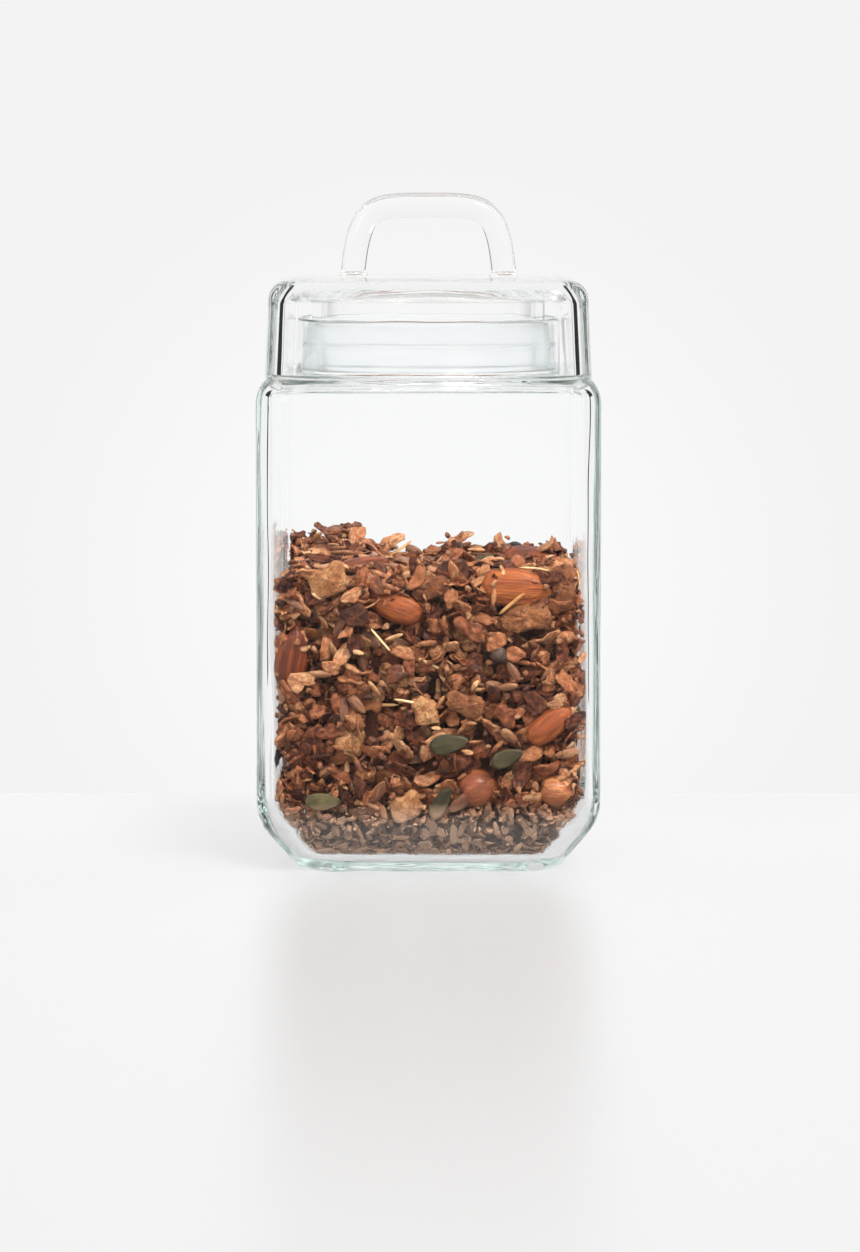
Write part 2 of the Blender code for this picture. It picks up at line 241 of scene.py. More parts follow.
def loft(name, sections, look, ripple=None):
    """A closed solid through sections that run up its outside and down its hollows."""
    shares = quarter_shares()
    rings = np.array([outline(section, shares) for section in sections])
    count = rings.shape[1]
    points = rings.reshape(-1, 3)
    here = np.arange(count)
    before = (here - 1) % count
    faces = []
    for row in range(len(sections) - 1):
        low, high = row * count, (row + 1) * count
        faces += np.stack([low + before, low + here, high + here, high + before], 1).tolist()
    faces.append(here[::-1].tolist())
    faces.append((here + (len(sections) - 1) * count).tolist())
    made = mesh_object(name, points.tolist(), faces, look)
    if ripple:
        ripple_glass(made, *ripple)
    return made


def ripple_glass(made, outer, inner, inner_half):
    """Moves the skin in and out as pressed glass does, less outside than within inner_half."""
    mesh = made.data
    count = len(mesh.vertices)
    points = np.empty(count * 3, np.float32)
    normals = np.empty(count * 3, np.float32)
    mesh.vertices.foreach_get("co", points)
    mesh.vertices.foreach_get("normal", normals)
    points = points.reshape(-1, 3)
    waves = np.array([glass_wave(*point) for point in points.tolist()])
    is_inner = np.abs(points[:, :2]).max(1) < inner_half
    size = np.where(is_inner, inner, outer) * waves
    points = points + normals.reshape(-1, 3) * size[:, None]
    points[:, 2] = np.maximum(points[:, 2], 0)
    mesh.vertices.foreach_set("co", points.astype(np.float32).ravel())
    mesh.update()


def glass_wave(x, y, z):
    """The height of pressed glass's ripple at a point, about -1 to 1: long waves and a few short ones."""
    long_wave = noise.noise(Vector((x * LONG_WAVES, y * LONG_WAVES, z * LONG_WAVES_UP)))
    short_wave = noise.noise(Vector((x * SHORT_WAVES + 5, y * SHORT_WAVES, z * SHORT_WAVES_UP)))
    return long_wave + SHORT_SHARE * short_wave


def jar_outside():
    """From the middle of the underside out over the heel and up to the rim."""
    foot = square(FOOT_HALF, FOOT_CORNER, 0)
    bend = square(JAR_HALF, JAR_CORNER, CHAMFER_HEIGHT)
    shoulder = square(JAR_HALF, JAR_CORNER, SHOULDER)
    above_heel, below_bend = slope_ends(foot, bend, HEEL_ROUND, CHAMFER_ROUND)
    recess_edge = FOOT_HALF - HEEL_ROUND - BEARING_WIDTH
    recess = square(recess_edge - RECESS_DEPTH, FOOT_CORNER, RECESS_DEPTH)
    sections = disc(recess) + [recess, square(recess_edge, FOOT_CORNER, 0)]
    sections += rounded(square(FOOT_HALF - HEEL_ROUND, FOOT_CORNER, 0), foot, above_heel)
    sections += rounded(below_bend, bend, bend + Vector((0, 0, CHAMFER_ROUND)))
    sections += rounded(
        shoulder - Vector((0, 0, SHOULDER_DROP)),
        shoulder,
        square(JAR_HALF - SHOULDER_ROUND, SHOULDER_CORNER, SHOULDER),
    )
    sections += rounded(
        circle(NECK_RADIUS + NECK_FILLET, SHOULDER),
        circle(NECK_RADIUS, SHOULDER),
        circle(NECK_RADIUS, SHOULDER + NECK_FILLET),
    )
    sections += rounded(
        circle(NECK_RADIUS, RIM - RIM_ROUND), circle(NECK_RADIUS, RIM), circle(NECK_RADIUS - RIM_ROUND, RIM)
    )
    return sections


def inner_wall(gap, top):
    """The inside of the jar's body from the floor up to a height, at a gap from the glass."""
    floor = square(FLOOR_HALF - gap, FLOOR_CORNER, BASE + gap)
    bend = square(INNER_HALF - gap, INNER_CORNER, INNER_CHAMFER_TOP)
    above_floor, below_bend = slope_ends(floor, bend, HEEL_ROUND, CHAMFER_ROUND)
    sections = rounded(floor - Vector((HEEL_ROUND, 0, 0)), floor, above_floor)
    sections += rounded(below_bend, bend, bend + Vector((0, 0, CHAMFER_ROUND)))
    return sections + [square(INNER_HALF - gap, INNER_CORNER, top)]


def jar_inside():
    """From the middle of the floor up the inner wall, in under the shoulder and up to the rim."""
    underside = SHOULDER - SHOULDER_GLASS
    wall = inner_wall(0, underside - INNER_ROUND)[:-1]
    sections = disc(wall[0]) + wall
    sections += rounded(
        square(INNER_HALF, INNER_CORNER, underside - INNER_ROUND),
        square(INNER_HALF, INNER_CORNER, underside),
        square(INNER_HALF - INNER_ROUND, INNER_CORNER, underside),
    )
    sections += rounded(
        circle(BORE_RADIUS + RIM_ROUND, underside),
        circle(BORE_RADIUS, underside),
        circle(BORE_RADIUS, underside + RIM_ROUND),
    )
    sections += rounded(
        circle(BORE_RADIUS, RIM - RIM_ROUND), circle(BORE_RADIUS, RIM), circle(BORE_RADIUS + RIM_ROUND, RIM)
    )
    return sections


def make_jar(look):
    """The jar, one skin from the middle of its underside to the middle of its floor."""
    sections = refined(jar_outside() + list(reversed(jar_inside())))
    return loft("jar_glass", sections, look, ripple=(*JAR_RIPPLE, INNER_HALF + WALL / 2))


def lid_inside(height, inset=0.0):
    """A section of the cap's cavity, which widens towards its open end."""
    half_width = NECK_RADIUS + LID_CLEARANCE + (RIM - height) * math.tan(LID_DRAFT)
    return square(half_width - inset, LID_CORNER - LID_WALL - inset, height)


def lid_outside(height, inset=0.0):
    """A section of the cap's outside, one wall beyond its cavity."""
    return lid_inside(height, inset) + Vector((LID_WALL, LID_WALL, 0))


def lid_shell():
    """From the middle of the top, down the outside and up the cavity to its ceiling."""
    bottom = LID_LOW[2]
    edge = LID_TOP - LID_CROWN
    plateau = square(FOOT_X + BOND_RADIUS + PLATEAU_MARGIN, PLATEAU_CORNER, LID_TOP)
    sections = disc(plateau) + [plateau]
    sections += rounded(lid_outside(edge, LID_EDGE), lid_outside(edge), lid_outside(edge - LID_EDGE))
    sections += rounded(lid_outside(bottom + LID_LIP), lid_outside(bottom), lid_outside(bottom, LID_LIP))
    sections += rounded(lid_inside(bottom, -LID_LIP), lid_inside(bottom), lid_inside(bottom + LID_LIP))
    sections += rounded(
        lid_inside(CEILING - CEILING_FILLET), lid_inside(CEILING), lid_inside(CEILING, CEILING_FILLET)
    )
    return sections


def plug_ring():
    """From the cap's ceiling down the outside of the plug ring, up its inside and to the middle."""
    bead = PLUG_RADIUS + PLUG_BEAD
    bead_top = SEAL_BOTTOM - TOUCH_GAP
    bottom = bead_top - PLUG_BEAD_HEIGHT
    inside = PLUG_RADIUS - PLUG_WALL
    sections = rounded(
        circle(PLUG_RADIUS + PLUG_ROUND, CEILING),
        circle(PLUG_RADIUS, CEILING),
        circle(PLUG_RADIUS, CEILING - PLUG_ROUND),
    )
    sections += [circle(PLUG_RADIUS, bead_top), circle(bead, bead_top - PLUG_BEAD / 2)]
    sections += rounded(
        circle(bead, bottom + PLUG_ROUND), circle(bead, bottom), circle(bead - PLUG_ROUND, bottom)
    )
    sections += rounded(
        circle(inside + PLUG_ROUND, bottom), circle(inside, bottom), circle(inside, bottom + PLUG_ROUND)
    )
    last = circle(inside - PLUG_ROUND, CEILING)
    sections += rounded(circle(inside, CEILING - PLUG_ROUND), circle(inside, CEILING), last)
    return sections + list(reversed(disc(last)))


def make_lid(look):
    """The cap and its plug ring, one piece of glass."""
    sections = refined(list(reversed(lid_shell() + plug_ring())))
    return loft("lid_glass", sections, look, ripple=(*LID_RIPPLE, LID_HALF - LID_WALL / 2))


# ---------------------------------------------------------------- seal, handle and bonds


def seal_profile():
    """Radius and height round the seal's wall, down its finned outside and up its inside."""
    inside = PLUG_RADIUS + TOUCH_GAP
    body = inside + SEAL_BODY
    height = SEAL_TOP - SEAL_BOTTOM
    points = []
    for step in range(SEAL_STEPS + 1):
        share = step / SEAL_STEPS
        from_fin = abs(((share * (FIN_COUNT - 1) + 0.5) % 1) - 0.5)
        stand = math.exp(-((from_fin / FIN_HALF_WIDTH) ** 2))
        points.append((body + (SEAL_RADIUS - body) * stand, SEAL_TOP - share * height))
    return points + [(inside, SEAL_BOTTOM), (inside, SEAL_TOP)]


def make_seal(look):
    """The soft ring, turned about the Z axis."""
    profile = seal_profile()
    points = []
    for turn in range(SEAL_TURNS):
        angle = 2 * math.pi * turn / SEAL_TURNS
        points += [(r * math.cos(angle), r * math.sin(angle), z) for r, z in profile]
    count = len(profile)
    faces = []
    for turn in range(SEAL_TURNS):
        here, after = turn * count, (turn + 1) % SEAL_TURNS * count
        for i in range(count):
            j = (i + 1) % count
            faces.append((here + i, here + j, after + j, after + i))
    return mesh_object("seal_silicone", points, faces, look)


def handle_curve(start):
    """The bent rod as a curve object, from one foot over to the other."""
    top = ROD_TOP - ROD_RADIUS
    curve = bpy.data.curves.new("handle_glass", "CURVE")
    curve.dimensions = "3D"
    curve.resolution_u = ROD_STEPS
    curve.bevel_depth = ROD_RADIUS
    curve.bevel_resolution = ROD_ARC_STEPS
    curve.use_fill_caps = True
    spline = curve.splines.new("BEZIER")
    spline.bezier_points.add(2)
    for side, point in zip((-1, 0, 1), spline.bezier_points):
        point.handle_left_type = "FREE"
        point.handle_right_type = "FREE"
        point.co = (side * FOOT_X, 0, start) if side else (0, 0, top)
        guide = Vector((side * (FOOT_X - HANDLE_LEAN), 0, start + HANDLE_LEG))
        point.handle_left = guide if side else (-HANDLE_BAR, 0, top)
        point.handle_right = guide if side else (HANDLE_BAR, 0, top)
    return bpy.data.objects.new("handle_curve", curve)


def make_handle(look):
    """The bent rod, with feet that end just above the bonds."""
    start = ROD_LOW[2]
    rod = handle_curve(start)
    bpy.context.scene.collection.objects.link(rod)
    bpy.context.view_layer.update()
    evaluated = rod.evaluated_get(bpy.context.evaluated_depsgraph_get())
    data = bpy.data.meshes.new_from_object(evaluated)
    bpy.data.objects.remove(rod)
    work = bmesh.new()
    work.from_mesh(data)
    bmesh.ops.remove_doubles(work, verts=work.verts, dist=WELD_DISTANCE)
    for vertex in work.verts:
        vertex.co.z = max(vertex.co.z, start)
    work.to_mesh(data)
    work.free()
    data.name = "handle_glass"
    data.materials.clear()
    data.materials.append(look)
    data.shade_smooth()
    data.set_sharp_from_angle(angle=SHARP_ANGLE)
    made = bpy.data.objects.new("handle_glass", data)
    bpy.context.scene.collection.objects.link(made)
    return made


def closed_faces(row_count, around):
    """Faces of a closed form: its first point, rows of points round it, and its last point."""
    last = 1 + (row_count - 1) * around
    faces = []
    for i in range(around):
        j = (i + 1) % around
        faces.append((0, 1 + j, 1 + i))
        for row in range(row_count - 1):
            a, b = 1 + row * around, 1 + (row + 1) * around
            faces.append((a + i, a + j, b + j, b + i))
        faces.append((last + i, last + j, last + around))
    return faces


def make_bond(name, side, look):
    """The flared collar of clear resin under one foot of the handle."""
    low, high = LID_TOP + TOUCH_GAP, ROD_LOW[2] - TOUCH_GAP / 2
    points = [(side * FOOT_X, 0, low)]
    for step in range(BOND_STEPS + 1):
        share = step / BOND_STEPS
        radius = ROD_RADIUS + (BOND_RADIUS - ROD_RADIUS) * (1 - share) ** 2
        for turn in range(BOND_TURNS):
            angle = 2 * math.pi * turn / BOND_TURNS
            x = side * FOOT_X + radius * math.cos(angle)
            points.append((x, radius * math.sin(angle), low + (high - low) * share))
    points.append((side * FOOT_X, 0, high))
    made = mesh_object(name, points, closed_faces(BOND_STEPS + 1, BOND_TURNS), look)
    made.data.set_sharp_from_angle(angle=SHARP_ANGLE)
    return made


# ---------------------------------------------------------------- materials


def from_srgb(red, green, blue):
    """A linear colour from 8-bit sRGB."""
    return tuple(((v / 255 + 0.055) / 1.055) ** 2.4 if v > 10 else v / 3294 for v in (red, green, blue))


def new_material(name):
    """A material with an empty node tree but for its output."""
    made = bpy.data.materials.new(name)
    made.use_nodes = True
    tree = made.node_tree
    tree.nodes.clear()
    return made, tree, tree.nodes.new("ShaderNodeOutputMaterial")


def add(tree, kind, **values):
    """A node with its sockets or properties set by name."""
    node = tree.nodes.new(kind)
    for key, value in values.items():
        if hasattr(node, key):
            setattr(node, key, value)
        else:
            node.inputs[key.replace("_", " ")].default_value = value
    return node


def ranged(tree, source, ends, results, **values):
    """A socket's value, carried from one range to another."""
    node = add(tree, "ShaderNodeMapRange", **values)
    for name, value in zip(("From Min", "From Max", "To Min", "To Max"), (*ends, *results)):
        node.inputs[name].default_value = value
    tree.links.new(source, node.inputs["Value"])
    return node.outputs["Result"]


def scaled_sum(tree, value, factor, added):
    """A socket's value times a factor, plus a number or another socket."""
    node = add(tree, "ShaderNodeMath", operation="MULTIPLY_ADD")
    tree.links.new(value, node.inputs[0])
    node.inputs[1].default_value = factor
    if isinstance(added, float):
        node.inputs[2].default_value = added
    else:
        tree.links.new(added, node.inputs[2])
    return node.outputs[0]


def mixed(tree, share, first, second):
    """A mix of two shaders, by a socket's share of the second."""
    mix = add(tree, "ShaderNodeMixShader")
    tree.links.new(share, mix.inputs[0])
    tree.links.new(first.outputs[0], mix.inputs[1])
    tree.links.new(second.outputs[0], mix.inputs[2])
    return mix.outputs[0]


def object_noise(tree, scale, detail):
    """Noise in the object's own space."""
    place = add(tree, "ShaderNodeTexCoord")
    cloud = add(tree, "ShaderNodeTexNoise", Scale=scale, Detail=detail)
    tree.links.new(place.outputs["Object"], cloud.inputs["Vector"])
    return cloud.outputs["Fac"]


def object_height(tree):
    """The height in the object's own space."""
    place = add(tree, "ShaderNodeTexCoord")
    split = add(tree, "ShaderNodeSeparateXYZ")
    tree.links.new(place.outputs["Object"], split.inputs[0])
    return split.outputs["Z"]


def add_bump(tree, shader, height, strength, distance):
    """Raises and lowers a shader's surface."""
    bump = add(tree, "ShaderNodeBump", Strength=strength, Distance=distance)
    tree.links.new(height, bump.inputs["Height"])
    tree.links.new(bump.outputs["Normal"], shader.inputs["Normal"])


def clear_shader(tree, roughness, ior, tint):
    """A shader that light goes through and bends in."""
    shader = add(tree, "ShaderNodeBsdfPrincipled", Roughness=roughness, IOR=ior)
    shader.inputs["Transmission Weight"].default_value = 1.0
    shader.inputs["Base Color"].default_value = tint
    return shader


def finish_clear(tree, out, shader, lamp_tint, absorb, density):
    """Lets lamps straight through a clear shader, and gives it a tint that grows with depth."""
    path = add(tree, "ShaderNodeLightPath")
    clear = add(tree, "ShaderNodeBsdfTransparent", Color=lamp_tint)
    tree.links.new(mixed(tree, path.outputs["Is Shadow Ray"], shader, clear), out.inputs["Surface"])
    depth = add(tree, "ShaderNodeVolumeAbsorption", Color=absorb, Density=density)
    tree.links.new(depth.outputs[0], out.inputs["Volume"])


GLASS_IOR = 1.5
EVEN_SHEEN = ((0, 0.3), (1, 0.3))
GLASS_WAVES = (28.0, 1.5)  # scale and detail of the ripple that is too fine for the mesh
GLASS_WAVE_HEIGHT = 0.0006


def glass_material(name, absorb, density, lamp_tint, ripple_strength, ior=GLASS_IOR, sheen=EVEN_SHEEN):
    """Clear glass with faint ripples.

    Its head-on reflections are cut as a polarising filter cuts them. The sheen gives two heights
    and the share that is kept at each. Glancing and inner reflections are whole.
    """
    made, tree, out = new_material(name)
    shader = clear_shader(tree, 0.0, ior, (1, 1, 1, 1))
    add_bump(tree, shader, object_noise(tree, *GLASS_WAVES), ripple_strength, GLASS_WAVE_HEIGHT)
    (low, low_share), (high, high_share) = sheen
    share = ranged(tree, object_height(tree), (low, high), (low_share, high_share))
    tree.links.new(share, shader.inputs["Specular Tint"])
    finish_clear(tree, out, shader, lamp_tint, absorb, density)
    return made


def seal_material():
    """Milky, bluish, translucent silicone with a soft sheen."""
    made, tree, out = new_material("seal_silicone")
    shader = clear_shader(tree, 0.3, 1.10, (0.99, 0.995, 1.0, 1))
    add_bump(tree, shader, object_noise(tree, 220.0, 3.0), 0.15, 0.0003)
    finish_clear(tree, out, shader, (0.95, 0.97, 0.98, 1), (0.35, 0.72, 0.90, 1), 3.6)
    return made


PIECE_SHIFT = (37.0, 91.0, 53.0)  # how far apart two pieces lie in the noise
PIECE_SPREAD, PIECE_START = 0.84, -0.71  # how the tone goes from piece to piece
NOISE_SPREAD = 1.5  # how far the broad noise moves it within a piece
SPECK_RANGE = (0.35, 0.72)  # of the fine noise
SPECK_GAIN = 0.55  # how much a pale speck gains for what a dark one loses
ROUGHER, SMOOTHER = 0.2, 0.14
FOOD_SPECULAR = 0.22
COAT_ROUGHNESS = 0.25
FOOD_BUMP = 0.9
# Painted haze: behind the chamfer the granola gets a paler, warm colour that stands for the glass's
# reflection there and lifts its shade, laid on as dust on the fines.
DUST_AND_PAINTED_HAZE_SHARE = 0.62
DUST_AND_PAINTED_HAZE_FADE = 0.006  # from the bend of the chamfer up to where the dust and painted haze end
DUST_AND_PAINTED_HAZE_TONE = (214, 172, 142)


def piece_noise(tree, random, grain, stretch):
    """Broad and fine noise that falls differently on each piece, with its grain along the piece."""
    link = tree.links.new
    place = add(tree, "ShaderNodeAttribute", attribute_name="place_in_piece")
    shift = add(tree, "ShaderNodeVectorMath", operation="SCALE")
    shift.inputs[0].default_value = PIECE_SHIFT
    link(random, shift.inputs["Scale"])
    moved = add(tree, "ShaderNodeVectorMath", operation="MULTIPLY_ADD")
    moved.inputs[1].default_value = [grain * s for s in stretch]
    link(place.outputs["Vector"], moved.inputs[0])
    link(shift.outputs[0], moved.inputs[2])
    broad = add(tree, "ShaderNodeTexNoise", Scale=1.0, Detail=4.0, Roughness=0.62)
    fine = add(tree, "ShaderNodeTexNoise", Scale=4.5, Detail=5.0, Roughness=0.7)
    link(moved.outputs[0], broad.inputs["Vector"])
    link(moved.outputs[0], fine.inputs["Vector"])
    return broad.outputs["Fac"], fine.outputs["Fac"]


def piece_tone(tree, random, broad, tones):
    """A colour between the tones, by the piece and by the broad noise."""
    ramp = add(tree, "ShaderNodeValToRGB")
    stops = ramp.color_ramp.elements
    while len(stops) < len(tones):
        stops.new(0.5)
    for i, (stop, tone) in enumerate(zip(stops, tones)):
        stop.position = i / (len(tones) - 1)
        stop.color = (*from_srgb(*tone), 1)
    by_piece = scaled_sum(tree, random, PIECE_SPREAD, PIECE_START)
    tree.links.new(scaled_sum(tree, broad, NOISE_SPREAD, by_piece), ramp.inputs["Fac"])
    return ramp.outputs["Color"]


def dusted_with_painted_haze(tree, colour):
    """A colour that is paler behind the chamfer, where the fines settle: dust, and painted haze that stands
    for the chamfer glass's reflection and lifts the shade there.
    """
    fade = (CHAMFER_HEIGHT, CHAMFER_HEIGHT + DUST_AND_PAINTED_HAZE_FADE)
    mix = add(tree, "ShaderNodeMix", data_type="RGBA")
    colours = [socket for socket in mix.inputs if socket.type == "RGBA"]
    tree.links.new(ranged(tree, object_height(tree), fade, (DUST_AND_PAINTED_HAZE_SHARE, 0.0)), mix.inputs[0])
    tree.links.new(colour, colours[0])
    colours[1].default_value = (*from_srgb(*DUST_AND_PAINTED_HAZE_TONE), 1)
    return next(socket for socket in mix.outputs if socket.type == "RGBA")


def food_material(name, tones, grain, roughness, bump_distance, stretch=(1, 1, 1), speck=0.5, coat=0.0):
    """A dry food's surface: a tone of its own for each piece, grain along it, pits and specks."""
    made, tree, out = new_material(name)
    link = tree.links.new
    random = add(tree, "ShaderNodeNewGeometry").outputs["Random Per Island"]
    broad, fine = piece_noise(tree, random, grain, stretch)
    toned = add(tree, "ShaderNodeVectorMath", operation="SCALE")
    link(piece_tone(tree, random, broad, tones), toned.inputs[0])
    link(ranged(tree, fine, SPECK_RANGE, (1 - speck, 1 + SPECK_GAIN * speck)), toned.inputs["Scale"])
    shader = add(tree, "ShaderNodeBsdfPrincipled")
    shader.inputs["Specular IOR Level"].default_value = FOOD_SPECULAR
    shader.inputs["Coat Weight"].default_value = coat
    shader.inputs["Coat Roughness"].default_value = COAT_ROUGHNESS
    link(dusted_with_painted_haze(tree, toned.outputs[0]), shader.inputs["Base Color"])
    link(ranged(tree, fine, (0, 1), (roughness - SMOOTHER, roughness + ROUGHER)), shader.inputs["Roughness"])
    add_bump(tree, shader, scaled_sum(tree, broad, 1.0, fine), FOOD_BUMP, bump_distance)
    link(shader.outputs[0], out.inputs["Surface"])
    return made


# ---------------------------------------------------------------- forms of the granola


DOME_POWER = 2.6  # how flat a pillow's middle is
RIM_PLACE, RIM_WIDTH = 0.86, 0.1  # of a raised rim, as shares of the way out
CREASE_WIDTH = 0.12  # as a share of the width
FORM_BUMPS = 900  # a metre


def pillow(
    length, width, thickness, rng, around=18, rings=4, ragged=0.10, power=2.0, curl=0.0, crease=0.0,
    rim=0.0, bumpy=0.0, taper=0.0,
):
    """A closed flat form: two domed faces that meet at an uneven outline."""
    angles = 2 * math.pi * np.arange(around) / around
    phases = rng.uniform(0, 2 * math.pi, 4)
    reach = 1 + sum(ragged / (k + 1) * np.sin((k + 2) * angles + phases[k]) for k in range(4))
    reach = reach * (1 + ragged * 0.5 * rng.uniform(-1, 1, around))
    cos, sin = np.cos(angles), np.sin(angles)
    squared = (np.abs(cos) ** power + np.abs(sin) ** power) ** (-1 / power)
    x = cos * squared * reach * length / 2
    y = sin * squared * reach * width / 2
    y = y * (1 - taper * x / (length / 2))
    offset = rng.uniform(-50, 50, 3)

    def level(share, sign):
        px, py = x * share, y * share
        dome = math.sqrt(max(1 - share**DOME_POWER, 0))
        dome += rim * math.exp(-(((share - RIM_PLACE) / RIM_WIDTH) ** 2))
        lift = np.full(around, sign * thickness / 2 * dome)
        lift -= sign * crease * thickness * np.exp(-((py / (width * CREASE_WIDTH)) ** 2)) * (1 - share**3)
        if bumpy:
            spots = np.column_stack([px * FORM_BUMPS, py * FORM_BUMPS, np.full(around, sign * 9)]) + offset
            lift += [bumpy * noise.noise(Vector(spot)) for spot in spots]
        lift += curl * (px / (length / 2)) ** 2 * length
        return np.column_stack([px, py, lift])

    shares = [math.sin(math.pi / 2 * (i + 1) / rings) for i in range(rings)]
    top = [level(s, 1) for s in shares[:-1]]
    edge = level(1.0, 0)
    bottom = [level(s, -1) for s in shares[:-1]]
    centre_top = [[0, 0, thickness / 2 * (1 - 2 * crease)]]
    centre_bottom = [[0, 0, -thickness / 2 * (1 - 2 * crease)]]
    points = np.concatenate([centre_top, *top, edge, *reversed(bottom), centre_bottom])
    inside_out = closed_faces(2 * rings - 1, around)
    return points, [(face[0], *face[:0:-1]) for face in inside_out]


def lump(size, rng, finer=3, rough=0.35, scale=260, pits=0.0):
    """A closed knobbly form: a ball with swells, smaller swells and pits."""
    work = bmesh.new()
    bmesh.ops.create_icosphere(work, subdivisions=finer, radius=0.5)
    offset = Vector(rng.uniform(-50, 50, 3))
    points = []
    for vertex in work.verts:
        p = vertex.co
        spot = Vector((p.x * size[0], p.y * size[1], p.z * size[2]))
        swell = 1 + rough * noise.noise(spot * scale + offset)
        swell += rough * 0.6 * noise.noise(spot * scale * 2.3 - offset)
        swell -= pits * abs(noise.noise(spot * scale * 4.1 + offset))
        points.append(spot * swell)
    work.verts.index_update()
    faces = [tuple(v.index for v in face.verts) for face in work.faces]
    work.free()
    return np.array(points), faces


NUT_BLUNTNESS = 0.82  # how quickly a nut's girth falls towards its round end
NUT_LEAN = 0.12  # how much fatter its round half is
NUT_RIDGES = 11


def nut(length, width, thickness, rng, around=28, along=20, point=0.35, ridges=0.0):
    """A closed almond-like form, round at one end and pointed at the other."""
    offset = rng.uniform(0, 2 * math.pi)
    angles = 2 * math.pi * np.arange(around) / around
    rows = []
    for step in range(1, along):
        t = math.pi * step / along
        x = -math.cos(t)
        girth = math.sin(t) ** (NUT_BLUNTNESS if x < 0 else NUT_BLUNTNESS + point) * (1 - NUT_LEAN * x)
        ridge = 1 + ridges * np.sin(NUT_RIDGES * angles + offset) * math.sin(t)
        across = np.cos(angles) * girth * ridge * width / 2
        up = np.sin(angles) * girth * ridge * thickness / 2
        rows.append(np.column_stack([np.full(around, x * length / 2), across, up]))
    points = np.concatenate([[[-length / 2, 0, 0]], *rows, [[length / 2, 0, 0]]])
    return points, closed_faces(along - 1, around)


HEART_SHAPE = (1.1, 0.9, 0.6)  # of a cluster, as shares of its width
CLUSTER_FLATNESS = (1, 1, 0.6)
FULL_SPIN = 6.28


def cluster(flakes, rng, width):
    """Some flakes and a knobbly heart, stuck together at all angles, as one form."""
    heart = lump([width * share for share in HEART_SHAPE], rng, finer=2, rough=0.7, scale=420, pits=0.3)
    points, faces = [heart[0]], list(heart[1])
    count = len(heart[0])
    for _ in range(int(rng.integers(4, 8))):
        base, base_faces = flakes[int(rng.integers(len(flakes)))]
        way = rng.normal(0, 1, 3) * (1, 1, 0.55)
        way /= np.linalg.norm(way)
        lay = Vector(way).to_track_quat("Z", "Y").to_matrix()
        lean = Matrix.Rotation(float(rng.normal(0, 0.5)), 3, "X")
        spin = Matrix.Rotation(float(rng.uniform(0, FULL_SPIN)), 3, "Z")
        turn = np.array(lay @ (lean @ spin))
        shift = way * width * rng.uniform(0.28, 0.50) * CLUSTER_FLATNESS
        points.append(base * rng.uniform(0.6, 0.95) @ turn.T + shift)
        faces += [tuple(i + count for i in face) for face in base_faces]
        count += len(base)
    return np.concatenate(points), faces


class Kind:
    """One sort of piece: its forms, its radius in a crowd, how many lie flat, and those placed."""

    def __init__(self, name, forms, spacing, upright):
        self.name = name
        self.forms = forms
        self.spacing = spacing
        self.upright = upright
        self.placed = []

    def build(self, look, suffix, items):
        """Some of the placed pieces as one object, with each point's place in its own piece."""
        points, faces, local = [], [], []
        start = 0
        for form, turn, shift, size in items:
            base, base_faces = self.forms[form]
            points.append(base * size @ turn.T + shift)
            local.append(base * size)
            faces += [tuple(i + start for i in face) for face in base_faces]
            start += len(base)
        made = mesh_object("granola_" + self.name + suffix, np.concatenate(points).tolist(), faces, look)
        attribute = made.data.attributes.new("place_in_piece", "FLOAT_VECTOR", "POINT")
        attribute.data.foreach_set("vector", np.concatenate(local).astype(np.float32).ravel())
        return made


# ---------------------------------------------------------------- packing the granola

GAP = 0.0004  # granola to the glass
HEAP_BASE = FILL_HIGH[2] - 0.0088  # the heap's middle height
HEAP_WAVES, HEAP_RISE = 34, 0.0110  # a metre, and how high they go
HEAP_LUMPS, LUMP_RISE = 95, 0.0070
SLUMP_START, SLUMP = 0.040, 0.0060  # how far from the middle the heap falls away, and by how much
POCKET_WAVES, SMALL_POCKET_WAVES = 105, 240
POCKET_DEPTH, POCKET_START, POCKET_LIMIT = 0.0130, 0.03, 0.6
FINES_TOP = INNER_CHAMFER_TOP + 0.001
FINES_SIZE = 0.46
HEAP_MARGIN = 0.0015  # between the wall and the spots on the heap
HEAP_TOLERANCE = 0.0005
UPRIGHT_NORMAL = 1e-3  # a normal that leans less than this is taken as upright
MOST_PIECES = 20000  # in a crowd
CORE_INSET, CORE_DROP = 0.0100, 0.0090  # from the glass, and down from the heap's middle height
CORE_BUMPS, CORE_BUMP_HEIGHT = 160, 0.0012


def heap_top(x, y):
    """The height of the heap, which slumps by the side walls."""
    slow = noise.noise(Vector((x * HEAP_WAVES + 3.1, y * HEAP_WAVES, 0.7)))
    quick = noise.noise(Vector((x * HEAP_LUMPS, y * HEAP_LUMPS + 2.0, 4.2)))
    slump = min(max((abs(x) - SLUMP_START) / (INNER_HALF - SLUMP_START), 0), 1) ** 2
    return HEAP_BASE + HEAP_RISE * slow + LUMP_RISE * quick - SLUMP * slump


def pocket(spot):
    """How far back from the glass the granola lies at a spot: pockets with shallow ground between."""
    depth = noise.noise(Vector([c * POCKET_WAVES for c in spot]))
    depth += 0.5 * noise.noise(Vector([c * SMALL_POCKET_WAVES + 7 for c in spot]))
    return POCKET_DEPTH * min(max(depth - POCKET_START, 0), POCKET_LIMIT)


def inner_half(z):
    """Half the jar's inside width at heights z."""
    return np.minimum(INNER_HALF, FOOT_HALF + (z - CHAMFER_LIFT) / CHAMFER_SLOPE)


